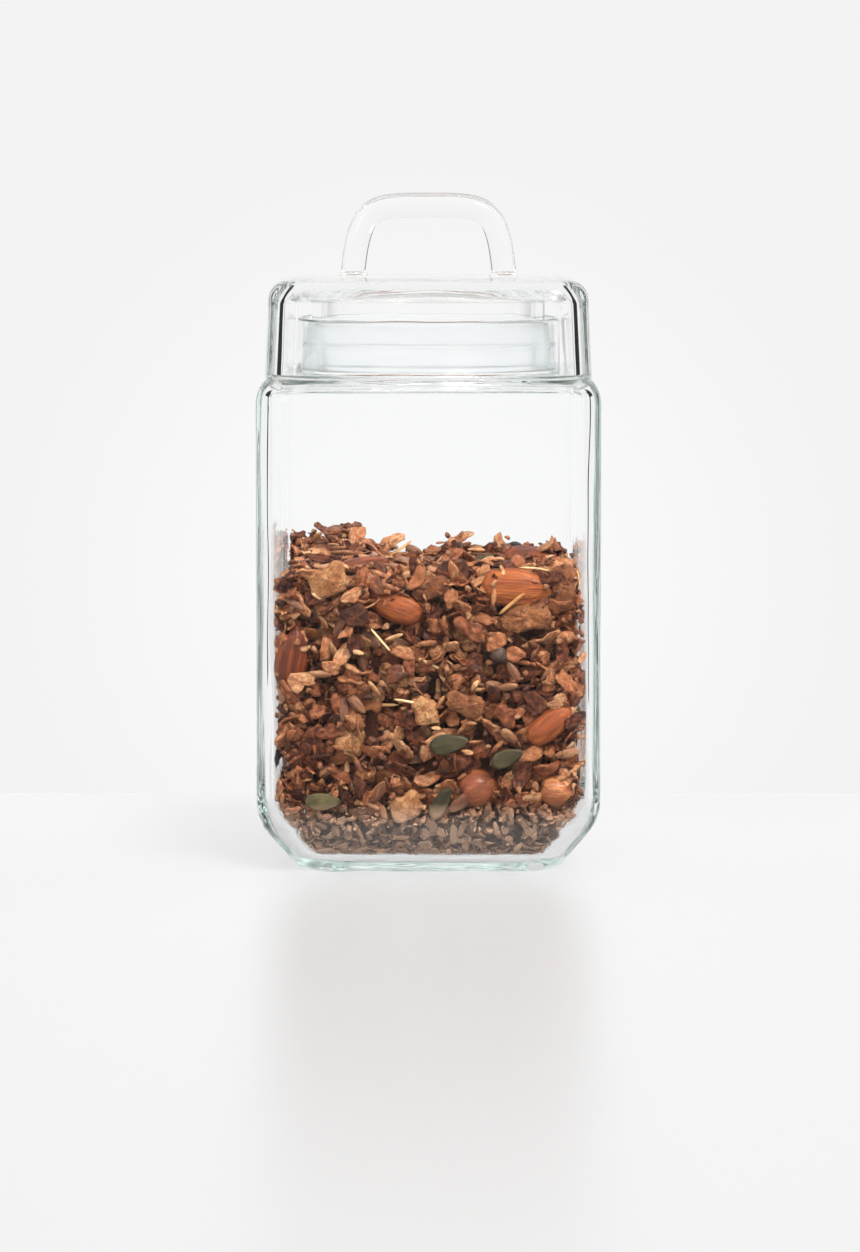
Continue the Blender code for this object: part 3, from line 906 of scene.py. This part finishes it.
def push_inside(points, shift):
    """The shift that brings a piece's points inside the glass."""
    for _ in range(4):
        p = points + shift
        half = inner_half(p[:, 2]) - GAP
        share = np.clip((p[:, 2] - BASE) / (INNER_CHAMFER_TOP - BASE), 0, 1)
        corner = FLOOR_CORNER + (INNER_CORNER - FLOOR_CORNER) * share
        over = np.abs(p[:, :2]) - (half - corner)[:, None]
        reach = np.clip(over, 0, None)
        length = np.hypot(reach[:, 0], reach[:, 1])
        excess = np.where(length > 0, length, over.max(1)) - corner
        worst = int(np.argmax(excess))
        low = BASE + GAP - p[:, 2].min()
        if excess[worst] <= 0 and low <= 0:
            break
        if excess[worst] > 0:
            way = reach[worst] / max(length[worst], TINY) * np.sign(p[worst, :2])
            shift = shift - np.array([*way, 0]) * excess[worst]
        if low > 0:
            shift = shift + np.array([0, 0, low])
    return shift


def wall_points():
    """The inside of the glass, from the edge of the floor up to the heap, as rows of points."""
    shares = np.linspace(0, 1, WALL_GRID, endpoint=False)
    return np.array([outline(section, shares) for section in refined(inner_wall(0, HEAP_BASE))])


class Crowd:
    """Where pieces already are, so that the next one isn't put in the same place."""

    def __init__(self):
        self.count = 0
        self.spots = np.empty((MOST_PIECES, 3))
        self.radii = np.empty(MOST_PIECES)

    def fits(self, spot, radius):
        """Whether a piece keeps clear of all the others."""
        gaps = self.spots[: self.count] - spot
        return not (np.einsum("ij,ij->i", gaps, gaps) < (self.radii[: self.count] + radius) ** 2).any()

    def join(self, spot, radius):
        """Adds a piece."""
        self.spots[self.count] = spot
        self.radii[self.count] = radius
        self.count += 1


def turn_to(normal, spin, tilt, tilt_way):
    """A turn that lays a piece flat on a face with that normal, spun in its plane and tilted."""
    side = Vector((0, 0, 1)).cross(normal)
    side = side.normalized() if side.length > UPRIGHT_NORMAL else Vector((1, 0, 0))
    up = normal.cross(side)
    lay = Matrix((side, up, normal)).transposed()
    spun = Matrix.Rotation(spin, 3, "Z")
    tilted = Matrix.Rotation(tilt, 3, Vector((math.cos(tilt_way), math.sin(tilt_way), 0)))
    return np.array(lay @ tilted @ spun)


def put(kind, rng, spot, normal, depth, size, spin=None, tilt=None):
    """Works out one piece at a depth behind a spot on the glass: its form, turn, shift and size."""
    form = int(rng.integers(len(kind.forms)))
    spin = float(rng.uniform(0, 2 * math.pi)) if spin is None else spin
    if tilt is None:
        lies_flat = rng.random() < kind.upright
        tilt = float(rng.normal(0, 0.35)) if lies_flat else float(rng.uniform(0.5, 1.4))
        tilt_way = float(rng.uniform(0, 2 * math.pi)) if lies_flat else float(rng.normal(0, 0.5))
    else:
        tilt_way = float(rng.uniform(0, 2 * math.pi))
    turn = turn_to(Vector(normal), spin, tilt, tilt_way)
    body = kind.forms[form][0] * size @ turn.T
    out = float((body @ np.array(normal)).max())
    shift = np.array(spot) - np.array(normal) * (out + depth + GAP)
    return form, turn, push_inside(body, shift), size


def surface_spots(count, rng):
    """Random spots with normals over the inside of the glass, evenly by area, up to the heap's top."""
    grid = wall_points()
    after = np.roll(grid, -1, axis=1)
    corner, across, up = grid[:-1], (after - grid)[:-1], grid[1:] - grid[:-1]
    cross = np.cross(across, up)
    area = np.linalg.norm(cross, axis=2)
    chance = (area / area.sum()).ravel()
    picks = rng.choice(len(chance), size=count, p=chance)
    rows, columns = np.unravel_index(picks, area.shape)
    a, b = rng.random((2, count, 1))
    spots = corner[rows, columns] + across[rows, columns] * a + up[rows, columns] * b
    normals = cross[rows, columns] / np.maximum(area[rows, columns], TINY)[:, None]
    return spots, normals


def floor_spots(count, rng):
    """Random spots over the floor of the jar."""
    half = FLOOR_HALF - HEEL_ROUND
    flat = rng.uniform(-half, half, (count, 2))
    return np.column_stack([flat, np.full(count, BASE)]), np.tile([0.0, 0.0, -1.0], (count, 1))


def heap_spots(count, rng):
    """Random spots over the top of the heap."""
    half = INNER_HALF - HEAP_MARGIN
    flat = rng.uniform(-half, half, (count, 2))
    tops = np.array([heap_top(x, y) for x, y in flat])
    return np.column_stack([flat, tops]), np.tile([0.0, 0.0, 1.0], (count, 1))


def scatter(kinds, weights, spots, normals, crowd, depth, jitter, rng, tightness, pocketed=False):
    """Places one piece at each spot where there is still room; the finest settle at the bottom."""
    names = rng.choice(len(kinds), size=len(spots), p=np.array(weights) / sum(weights))
    for index, spot, normal in zip(names, spots, normals):
        kind = kinds[index]
        size = float(rng.uniform(0.80, 1.18))
        if spot[2] < FINES_TOP:
            size *= FINES_SIZE
        radius = kind.spacing * tightness * size
        if spot[2] > heap_top(spot[0], spot[1]) + HEAP_TOLERANCE or not crowd.fits(spot, radius):
            continue
        behind = depth + jitter * rng.random() ** 2
        if pocketed and spot[2] > FINES_TOP:
            behind += pocket(spot)
        kind.placed.append(put(kind, rng, spot, normal, behind, size))
        crowd.join(spot, radius)


def make_kinds(rng):
    """Every sort of piece, with its forms in metres."""
    flakes = [
        pillow(rng.uniform(0.0064, 0.0100), rng.uniform(0.0040, 0.0064), rng.uniform(0.0008, 0.0013), rng,
               around=16, rings=3, ragged=rng.uniform(0.12, 0.30), curl=rng.uniform(-0.20, 0.20), crease=0.30,
               bumpy=0.0009)
        for _ in range(26)
    ]
    clusters = [cluster(flakes, rng, rng.uniform(0.0040, 0.0066)) for _ in range(16)]
    sunflower = [
        nut(rng.uniform(0.0075, 0.0095), rng.uniform(0.0034, 0.0043), rng.uniform(0.0018, 0.0024), rng,
            around=14, along=10, point=0.5)
        for _ in range(4)
    ]
    grains = [
        nut(rng.uniform(0.0036, 0.0058), rng.uniform(0.0014, 0.0020), rng.uniform(0.0009, 0.0013), rng,
            around=8, along=6, point=0.1)
        for _ in range(4)
    ]
    pumpkin = [
        pillow(0.0155, 0.0078, 0.0024, rng, around=30, rings=6, ragged=0.03, rim=0.30, taper=0.22, curl=0.03)
        for _ in range(2)
    ]
    almonds = [nut(0.0240, 0.0125, 0.0085, rng, around=48, along=30, ridges=0.02) for _ in range(2)]
    hazels = [nut(0.0128, 0.0122, 0.0120, rng, around=28, along=20, point=0.2, ridges=0.006)]
    chips = [
        pillow(rng.uniform(0.0090, 0.0125), rng.uniform(0.0075, 0.0100), rng.uniform(0.0022, 0.0032), rng,
               around=32, rings=6, ragged=rng.uniform(0.10, 0.16), power=3.4, bumpy=0.0010,
               curl=rng.uniform(-0.05, 0.05))
        for _ in range(6)
    ]
    slivers = [
        pillow(rng.uniform(0.0085, 0.0120), 0.0010, 0.0006, rng, around=14, rings=3, ragged=0.05, power=4.0,
               curl=rng.uniform(-0.06, 0.06))
        for _ in range(3)
    ]
    puffs = [lump((0.0062, 0.0060, 0.0058), rng, rough=0.12) for _ in range(2)]
    crumbs = [lump((0.0024, 0.0018, 0.0014), rng, finer=2, rough=0.8, scale=900) for _ in range(5)]
    return {
        "flakes": Kind("flakes", flakes, 0.0024, 0.6),
        "clusters": Kind("clusters", clusters, 0.0034, 0.7),
        "sunflower": Kind("sunflower_seeds", sunflower, 0.0023, 0.75),
        "grains": Kind("grains", grains, 0.0013, 0.75),
        "pumpkin": Kind("pumpkin_seeds", pumpkin, 0.0048, 0.85),
        "almonds": Kind("almonds", almonds, 0.0070, 0.9),
        "hazels": Kind("hazelnuts", hazels, 0.0052, 0.9),
        "chips": Kind("chips", chips, 0.0043, 0.8),
        "slivers": Kind("slivers", slivers, 0.0013, 0.9),
        "crumbs": Kind("crumbs", crumbs, 0.0008, 0.9),
        "puffs": Kind("puffs", puffs, 0.0027, 0.9),
    }


# Pieces that stand out at the front: kind, across and height in metres, spin in degrees, size
FRONT_PIECES = [
    ("almonds", 0.0285, 0.0925, -4, 0.98),
    ("almonds", -0.0110, 0.0868, 160, 0.78),
    ("almonds", -0.0440, 0.0700, 80, 0.80),
    ("almonds", 0.0385, 0.0490, 40, 0.72),
    ("hazels", 0.0158, 0.0282, 15, 1.05),
    ("hazels", 0.0410, 0.0272, 0, 0.85),
    ("chips", 0.0310, 0.0832, 5, 1.25),
    ("chips", -0.0315, 0.0950, 20, 1.15),
    ("chips", 0.0010, 0.0925, 15, 0.95),
    ("chips", -0.0070, 0.0228, 20, 0.95),
    ("chips", -0.0010, 0.0535, 5, 0.9),
    ("chips", 0.0118, 0.0555, -10, 0.95),
    ("chips", -0.0230, 0.0840, 30, 0.8),
    ("pumpkin", 0.0065, 0.0430, 8, 0.82),
    ("pumpkin", 0.0250, 0.0385, 20, 0.7),
    ("pumpkin", 0.0040, 0.0242, 60, 0.68),
    ("pumpkin", -0.0335, 0.0245, 0, 0.72),
    ("puffs", 0.0225, 0.0712, 0, 0.9),
    ("slivers", 0.0265, 0.0880, 40, 1.15),
    ("slivers", -0.0150, 0.0760, -50, 0.8),
]


FRONT_TILT = 0.12  # radians
FRONT_CLOSENESS = 0.9


def place_front_pieces(kinds, crowd, rng):
    """The nuts, seeds and chips that show best through the front of the jar."""
    for name, across, height, spin, size in FRONT_PIECES:
        kind = kinds[name]
        half = float(inner_half(np.array([height]))[0])
        spot = np.array([across, -half, height])
        tilt = float(rng.normal(0, FRONT_TILT))
        item = put(kind, rng, spot, (0, -1, 0), 0.0, size, spin=math.radians(spin), tilt=tilt)
        kind.placed.append(item)
        crowd.join(spot, kind.spacing * size * FRONT_CLOSENESS)


# Chances of each big kind on the wall, on the heap and on the floor, and of each small kind.
BIG_KINDS = ("almonds", "hazels", "chips", "pumpkin", "puffs")
WALL_WEIGHTS, HEAP_WEIGHTS, FLOOR_WEIGHTS = (14, 8, 40, 20, 14), (10, 6, 50, 12, 8), (16, 8, 34, 26, 16)
WALL_TRIES, HEAP_TRIES, FLOOR_TRIES = 110, 22, 14
SMALL_KINDS = ("flakes", "clusters", "sunflower", "grains", "slivers", "chips", "crumbs")
SMALL_WEIGHTS = (52, 38, 8, 8, 0.12, 1.6, 12)
LAYERS = ((0.0, 13000), (0.0022, 7000), (0.0052, 5000))  # depth, and tries on the wall
HEAP_SHARE, FLOOR_SHARE = 0.30, 0.13  # of a layer's tries
CLOSENESS = 0.84  # under 1 small pieces may overlap a little
HEAP_LIFT = 0.0018  # of the first layer


def pack_granola(rng):
    """Fills the jar: big pieces first, then layer by layer in from the glass and down from the top."""
    kinds = make_kinds(rng)
    outer = Crowd()
    place_front_pieces(kinds, outer, rng)
    big = [kinds[name] for name in BIG_KINDS]
    small = [kinds[name] for name in SMALL_KINDS]
    wall, wall_normals = surface_spots(WALL_TRIES, rng)
    keep = ~((wall[:, 1] < -INNER_HALF * 0.9) & (np.abs(wall[:, 0]) < INNER_HALF))  # not the front
    scatter(big, WALL_WEIGHTS, wall[keep], wall_normals[keep], outer, 0.0, 0.001, rng, 1.0)
    spots, normals = heap_spots(HEAP_TRIES, rng)
    scatter(big, HEAP_WEIGHTS, spots, normals, outer, 0.0, 0.002, rng, 1.0)
    spots, normals = floor_spots(FLOOR_TRIES, rng)
    scatter(big, FLOOR_WEIGHTS, spots, normals, outer, 0.0, 0.001, rng, 1.0)
    for layer, (depth, tries) in enumerate(LAYERS):
        crowd = outer if layer == 0 else Crowd()
        lift = HEAP_LIFT if layer == 0 else 0.0
        spots, normals = surface_spots(tries, rng)
        scatter(small, SMALL_WEIGHTS, spots, normals, crowd, depth, 0.0018, rng, CLOSENESS, pocketed=True)
        spots, normals = heap_spots(int(tries * HEAP_SHARE), rng)
        scatter(small, SMALL_WEIGHTS, spots, normals, crowd, depth - lift, 0.0040, rng, CLOSENESS)
        spots, normals = floor_spots(int(tries * FLOOR_SHARE), rng)
        scatter(small, SMALL_WEIGHTS, spots, normals, crowd, depth, 0.0012, rng, CLOSENESS)
    return kinds


def make_core(look):
    """The middle of the heap, seen only through the gaps between pieces, coloured darker than any piece as
    painted shade.
    """
    sections = refined(inner_wall(CORE_INSET, HEAP_BASE - CORE_DROP))
    top = sections[-1]
    sections += list(reversed(disc(top)))
    made = loft("granola_core", disc(sections[0]) + sections, look)
    offsets = [Vector((0, 0, 0)), Vector((9, 0, 0)), Vector((0, -9, 0))]
    for vertex in made.data.vertices:
        p = vertex.co * CORE_BUMPS
        vertex.co += Vector([noise.noise(p + offset) for offset in offsets]) * CORE_BUMP_HEIGHT
    attribute = made.data.attributes.new("place_in_piece", "FLOAT_VECTOR", "POINT")
    flat = np.array([v.co for v in made.data.vertices], np.float32).ravel()
    attribute.data.foreach_set("vector", flat)
    return made


# ---------------------------------------------------------------- assembling the object

SEED = 7
MOST_ITEMS = {"flakes": 1200, "clusters": 150, "crumbs": 600}  # of one kind in one object
MOST_OTHERS = 3000

CHAMFER_SHEEN = ((CHAMFER_HEIGHT, 0.75), (CHAMFER_HEIGHT + 0.004, 0.14))
JAR_LOOK = glass_material(
    "jar_glass", (0.50, 0.86, 0.74, 1), 2.6, (0.97, 0.98, 0.975, 1), 0.10, sheen=CHAMFER_SHEEN)
LID_LOOK = glass_material("lid_glass", (0.66, 0.84, 0.70, 1), 1.8, (0.97, 0.98, 0.975, 1), 0.08)
HANDLE_LOOK = glass_material(
    "handle_glass", (0.8, 0.9, 0.8, 1), 2.0, (0.98, 0.99, 0.985, 1), 0.05, ior=1.47)
BOND_LOOK = glass_material("bond_resin", (0.9, 0.9, 0.7, 1), 6.0, (0.97, 0.98, 0.96, 1), 0.15)

MIX = {
    "flakes": food_material(
        "cocoa_oat", ((64, 20, 3), (136, 68, 34), (186, 112, 68), (226, 168, 120)),
        480, 0.48, 0.00060, stretch=(1, 1.6, 1), speck=0.7, coat=0.12),
    "clusters": food_material(
        "cocoa_cluster", ((60, 19, 3), (130, 64, 32), (182, 108, 64), (222, 162, 112)),
        560, 0.50, 0.0009, speck=0.75, coat=0.10),
    "sunflower": food_material(
        "sunflower_seed", ((72, 34, 18), (114, 66, 40), (148, 96, 62), (186, 138, 98)),
        330, 0.42, 0.0003, stretch=(0.35, 1.6, 1.6), speck=0.45, coat=0.2),
    "grains": food_material(
        "toasted_grain", ((82, 38, 18), (132, 76, 42), (176, 118, 74), (220, 172, 124)),
        520, 0.48, 0.0002, speck=0.4, coat=0.10),
    "pumpkin": food_material(
        "pumpkin_seed", ((30, 24, 10), (48, 40, 19), (65, 56, 29), (92, 80, 46)),
        300, 0.45, 0.0003, stretch=(0.6, 1.4, 1.2), speck=0.5, coat=0.1),
    "almonds": food_material(
        "almond_skin", ((92, 36, 10), (142, 66, 24), (176, 92, 38), (212, 136, 74)),
        170, 0.46, 0.0006, stretch=(0.12, 3.4, 3.4), speck=0.5, coat=0.12),
    "hazels": food_material(
        "hazelnut_skin", ((70, 28, 10), (112, 52, 25), (146, 76, 40), (186, 118, 72)),
        240, 0.40, 0.0006, stretch=(0.3, 2.0, 2.0), speck=0.4, coat=0.2),
    "chips": food_material(
        "toasted_chip", ((66, 28, 10), (120, 64, 32), (162, 100, 56), (200, 146, 96)),
        300, 0.55, 0.0008, speck=0.65, coat=0.1),
    "slivers": food_material(
        "coconut_sliver", ((176, 122, 72), (206, 156, 100), (224, 184, 132), (240, 212, 166)),
        300, 0.5, 0.0001, stretch=(0.3, 1.5, 1.5), speck=0.3),
    "crumbs": food_material(
        "cocoa_crumb", ((64, 28, 14), (112, 62, 36), (150, 96, 60), (198, 148, 102)),
        700, 0.5, 0.0003, speck=0.5, coat=0.1),
    "puffs": food_material(
        "dark_puff", ((26, 18, 16), (48, 34, 28), (74, 54, 46), (100, 78, 66)),
        420, 0.5, 0.0004, speck=0.5),
}
# Painted shade: the core's tones are darker than the pieces', so it reads as granola deep in shade.
PAINTED_SHADE_CORE_LOOK = food_material(
    "granola_painted_shade", ((30, 9, 3), (52, 20, 8), (72, 32, 14), (92, 46, 24)),
    300, 0.8, 0.001, speck=0.6)

jar = make_jar(JAR_LOOK)
lid = make_lid(LID_LOOK)
seal = make_seal(seal_material())
handle = make_handle(HANDLE_LOOK)
bond_left = make_bond("bond_left_resin", -1, BOND_LOOK)
bond_right = make_bond("bond_right_resin", 1, BOND_LOOK)

contents = [make_core(PAINTED_SHADE_CORE_LOOK)]
for key, kind in pack_granola(np.random.default_rng(SEED)).items():
    limit = MOST_ITEMS.get(key, MOST_OTHERS)
    groups = [kind.placed[i : i + limit] for i in range(0, len(kind.placed), limit)]
    for number, group in enumerate(groups):
        suffix = "_" + chr(ord("a") + number) if len(groups) > 1 else ""
        contents.append(kind.build(MIX[key], suffix, group))

for piece, node, body, slot in (
    (jar, "jar", "jar", "jar_glass"),
    (lid, "lid", "lid", "lid_glass"),
    (handle, "handle", "lid", "handle_glass"),
    (bond_left, "handle_bond_left", "lid", "bond_resin"),
    (bond_right, "handle_bond_right", "lid", "bond_resin"),
    (seal, "seal_ring", "seal", "seal_silicone"),
):
    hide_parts(node)
    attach(piece, body)
for piece in contents:
    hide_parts("granola")
    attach(piece, "jar")


# ---------------------------------------------------------------- stage, light and camera


STAGE_SIZE = 8.0
TABLE_SHADES = (0.18 * 0.995, 0.18 * 1.005)
TABLE_ROUGHNESS = TABLE_SPECULAR = 0.30
TABLE_GLOW = 0.49  # light that the table gives off
WALL_BEHIND = 0.135
WALL_HEIGHT = 3.0
# Painted light on the wall: it glows by itself, most behind the jar.
GLOW_HEIGHT = 0.08  # of the brightest place on the wall
GLOW_NEAR, GLOW_FAR = (0.03, 0.955), (0.17, 0.895)  # distance from that place, brightness
BLACK = 0.002
CARD_GAP = 0.004
WORLD_SEEN = 0.90  # to the eye and in the glass
WORLD_LIGHT = 0.40  # on matt surfaces
CAMERA_DISTANCE = 1.355
CAMERA_HEIGHT = 0.220
CAMERA_PITCH = math.radians(4.05)
CAMERA_LENS = 118.9
CAMERA_SHIFT = (0.0012, -0.118)
BOUNCES = 32


def table_material():
    """A pale painted surface with a faint unevenness, which gives off part of its own light."""
    made, tree, out = new_material("pale_table")
    link = tree.links.new
    place = add(tree, "ShaderNodeTexCoord")
    cloud = add(tree, "ShaderNodeTexNoise", Scale=3.0, Detail=2.0)
    tint = add(tree, "ShaderNodeMapRange")
    tint.inputs["To Min"].default_value, tint.inputs["To Max"].default_value = TABLE_SHADES
    shader = add(tree, "ShaderNodeBsdfPrincipled", Roughness=TABLE_ROUGHNESS)
    shader.inputs["Specular IOR Level"].default_value = TABLE_SPECULAR
    shader.inputs["Emission Color"].default_value = (1, 1, 1, 1)
    shader.inputs["Emission Strength"].default_value = TABLE_GLOW
    link(place.outputs["Object"], cloud.inputs["Vector"])
    link(cloud.outputs["Fac"], tint.inputs["Value"])
    link(tint.outputs["Result"], shader.inputs["Base Color"])
    link(shader.outputs[0], out.inputs["Surface"])
    return made


def plane(name, size_x, size_y, look, matrix):
    """A flat stage piece."""
    x, y = size_x / 2, size_y / 2
    made = mesh_object(name, [(-x, -y, 0), (x, -y, 0), (x, y, 0), (-x, y, 0)], [(0, 1, 2, 3)], look)
    made.matrix_world = matrix
    return made


def wall_material():
    """A pale wall that gives off its own light, a painted glow brightest behind the jar that lifts the jar's
    shadow there, and that doesn't block the view from behind it.
    """
    made, tree, out = new_material("pale_wall")
    link = tree.links.new
    place = add(tree, "ShaderNodeTexCoord")
    centred = add(tree, "ShaderNodeVectorMath", operation="SUBTRACT")
    centred.inputs[1].default_value = (0, GLOW_HEIGHT - WALL_HEIGHT / 2, 0)
    away = add(tree, "ShaderNodeVectorMath", operation="LENGTH")
    glow = add(tree, "ShaderNodeMapRange", interpolation_type="SMOOTHSTEP")
    glow.inputs["From Min"].default_value, glow.inputs["To Min"].default_value = GLOW_NEAR
    glow.inputs["From Max"].default_value, glow.inputs["To Max"].default_value = GLOW_FAR
    link(place.outputs["Object"], centred.inputs[0])
    link(centred.outputs[0], away.inputs[0])
    link(away.outputs["Value"], glow.inputs["Value"])
    lit = add(tree, "ShaderNodeEmission")
    link(glow.outputs["Result"], lit.inputs["Strength"])
    see_through = add(tree, "ShaderNodeBsdfTransparent")
    side = add(tree, "ShaderNodeNewGeometry")
    one_sided = add(tree, "ShaderNodeMixShader")
    link(side.outputs["Backfacing"], one_sided.inputs[0])
    link(lit.outputs[0], one_sided.inputs[1])
    link(see_through.outputs[0], one_sided.inputs[2])
    link(one_sided.outputs[0], out.inputs["Surface"])
    return made


def black_material():
    """Matt black."""
    made, tree, out = new_material("black_card")
    shader = add(tree, "ShaderNodeBsdfDiffuse", Color=(BLACK, BLACK, BLACK, 1))
    tree.links.new(shader.outputs[0], out.inputs["Surface"])
    return made


def standing(x, y, z):
    """Stands a flat piece up to face the camera, with its middle at a point."""
    return Matrix.Translation((x, y, z)) @ Matrix.Rotation(math.radians(90), 4, "X")


plane("table_top", STAGE_SIZE, STAGE_SIZE, table_material(), Matrix.Identity(4))
plane("wall", STAGE_SIZE, WALL_HEIGHT, wall_material(), standing(0, WALL_BEHIND, WALL_HEIGHT / 2))

BLACK_LOOK = black_material()
CARDS = {  # across from the middle (near, far), height (low, high)
    "upper": ((0.200, 0.450), (0.150, 0.335)),
    "lower": ((0.350, 0.430), (0.010, 0.150)),
}
for card_name, ((near, far), (low, high)) in CARDS.items():
    for side_name, sign in (("left", -1), ("right", 1)):
        place = standing(sign * (near + far) / 2, WALL_BEHIND - CARD_GAP, (low + high) / 2)
        name = "black_card_" + card_name + "_" + side_name
        card = plane(name, far - near, high - low, BLACK_LOOK, place)
        card.visible_camera = False
        card.visible_diffuse = False
        card.visible_shadow = False


def area_light(name, place, target, size, power):
    """A soft rectangular lamp that looks at a point."""
    data = bpy.data.lights.new(name, "AREA")
    data.shape = "RECTANGLE"
    data.size, data.size_y = size
    data.energy = power
    made = bpy.data.objects.new(name, data)
    made.location = place
    way = Vector(target) - Vector(place)
    made.rotation_euler = way.to_track_quat("-Z", "Y").to_euler()
    bpy.context.scene.collection.objects.link(made)


area_light("key", (0.90, -1.40, 1.95), (0, 0, 0.08), (0.9, 0.9), 64.0)
area_light("fill", (-0.9, -1.3, 0.8), (0, 0, 0.08), (0.8, 0.8), 7.0)

world = bpy.data.worlds.new("studio")
bpy.context.scene.world = world
world.use_nodes = True
world_tree = world.node_tree
seen = world_tree.nodes["Background"]
seen.inputs["Color"].default_value = (1, 1, 1, 1)
seen.inputs["Strength"].default_value = WORLD_SEEN
lighting = add(world_tree, "ShaderNodeBackground", Strength=WORLD_LIGHT, Color=(1, 1, 1, 1))
world_path = add(world_tree, "ShaderNodeLightPath")
world_mix = add(world_tree, "ShaderNodeMixShader")
world_tree.links.new(world_path.outputs["Is Diffuse Ray"], world_mix.inputs[0])
world_tree.links.new(seen.outputs[0], world_mix.inputs[1])
world_tree.links.new(lighting.outputs[0], world_mix.inputs[2])
world_tree.links.new(world_mix.outputs[0], world_tree.nodes["World Output"].inputs["Surface"])

camera_data = bpy.data.cameras.new("camera")
camera_data.lens = CAMERA_LENS
camera_data.shift_x, camera_data.shift_y = CAMERA_SHIFT
camera = bpy.data.objects.new("camera", camera_data)
camera.location = (0, -CAMERA_DISTANCE, CAMERA_HEIGHT)
camera.rotation_euler = (math.pi / 2 - CAMERA_PITCH, 0, 0)
bpy.context.scene.collection.objects.link(camera)
bpy.context.scene.camera = camera

bpy.context.scene.view_settings.view_transform = "Standard"
cycles = bpy.context.scene.cycles
cycles.max_bounces = cycles.transmission_bounces = BOUNCES
cycles.glossy_bounces = cycles.transparent_max_bounces = BOUNCES

bpy.context.view_layer.update()
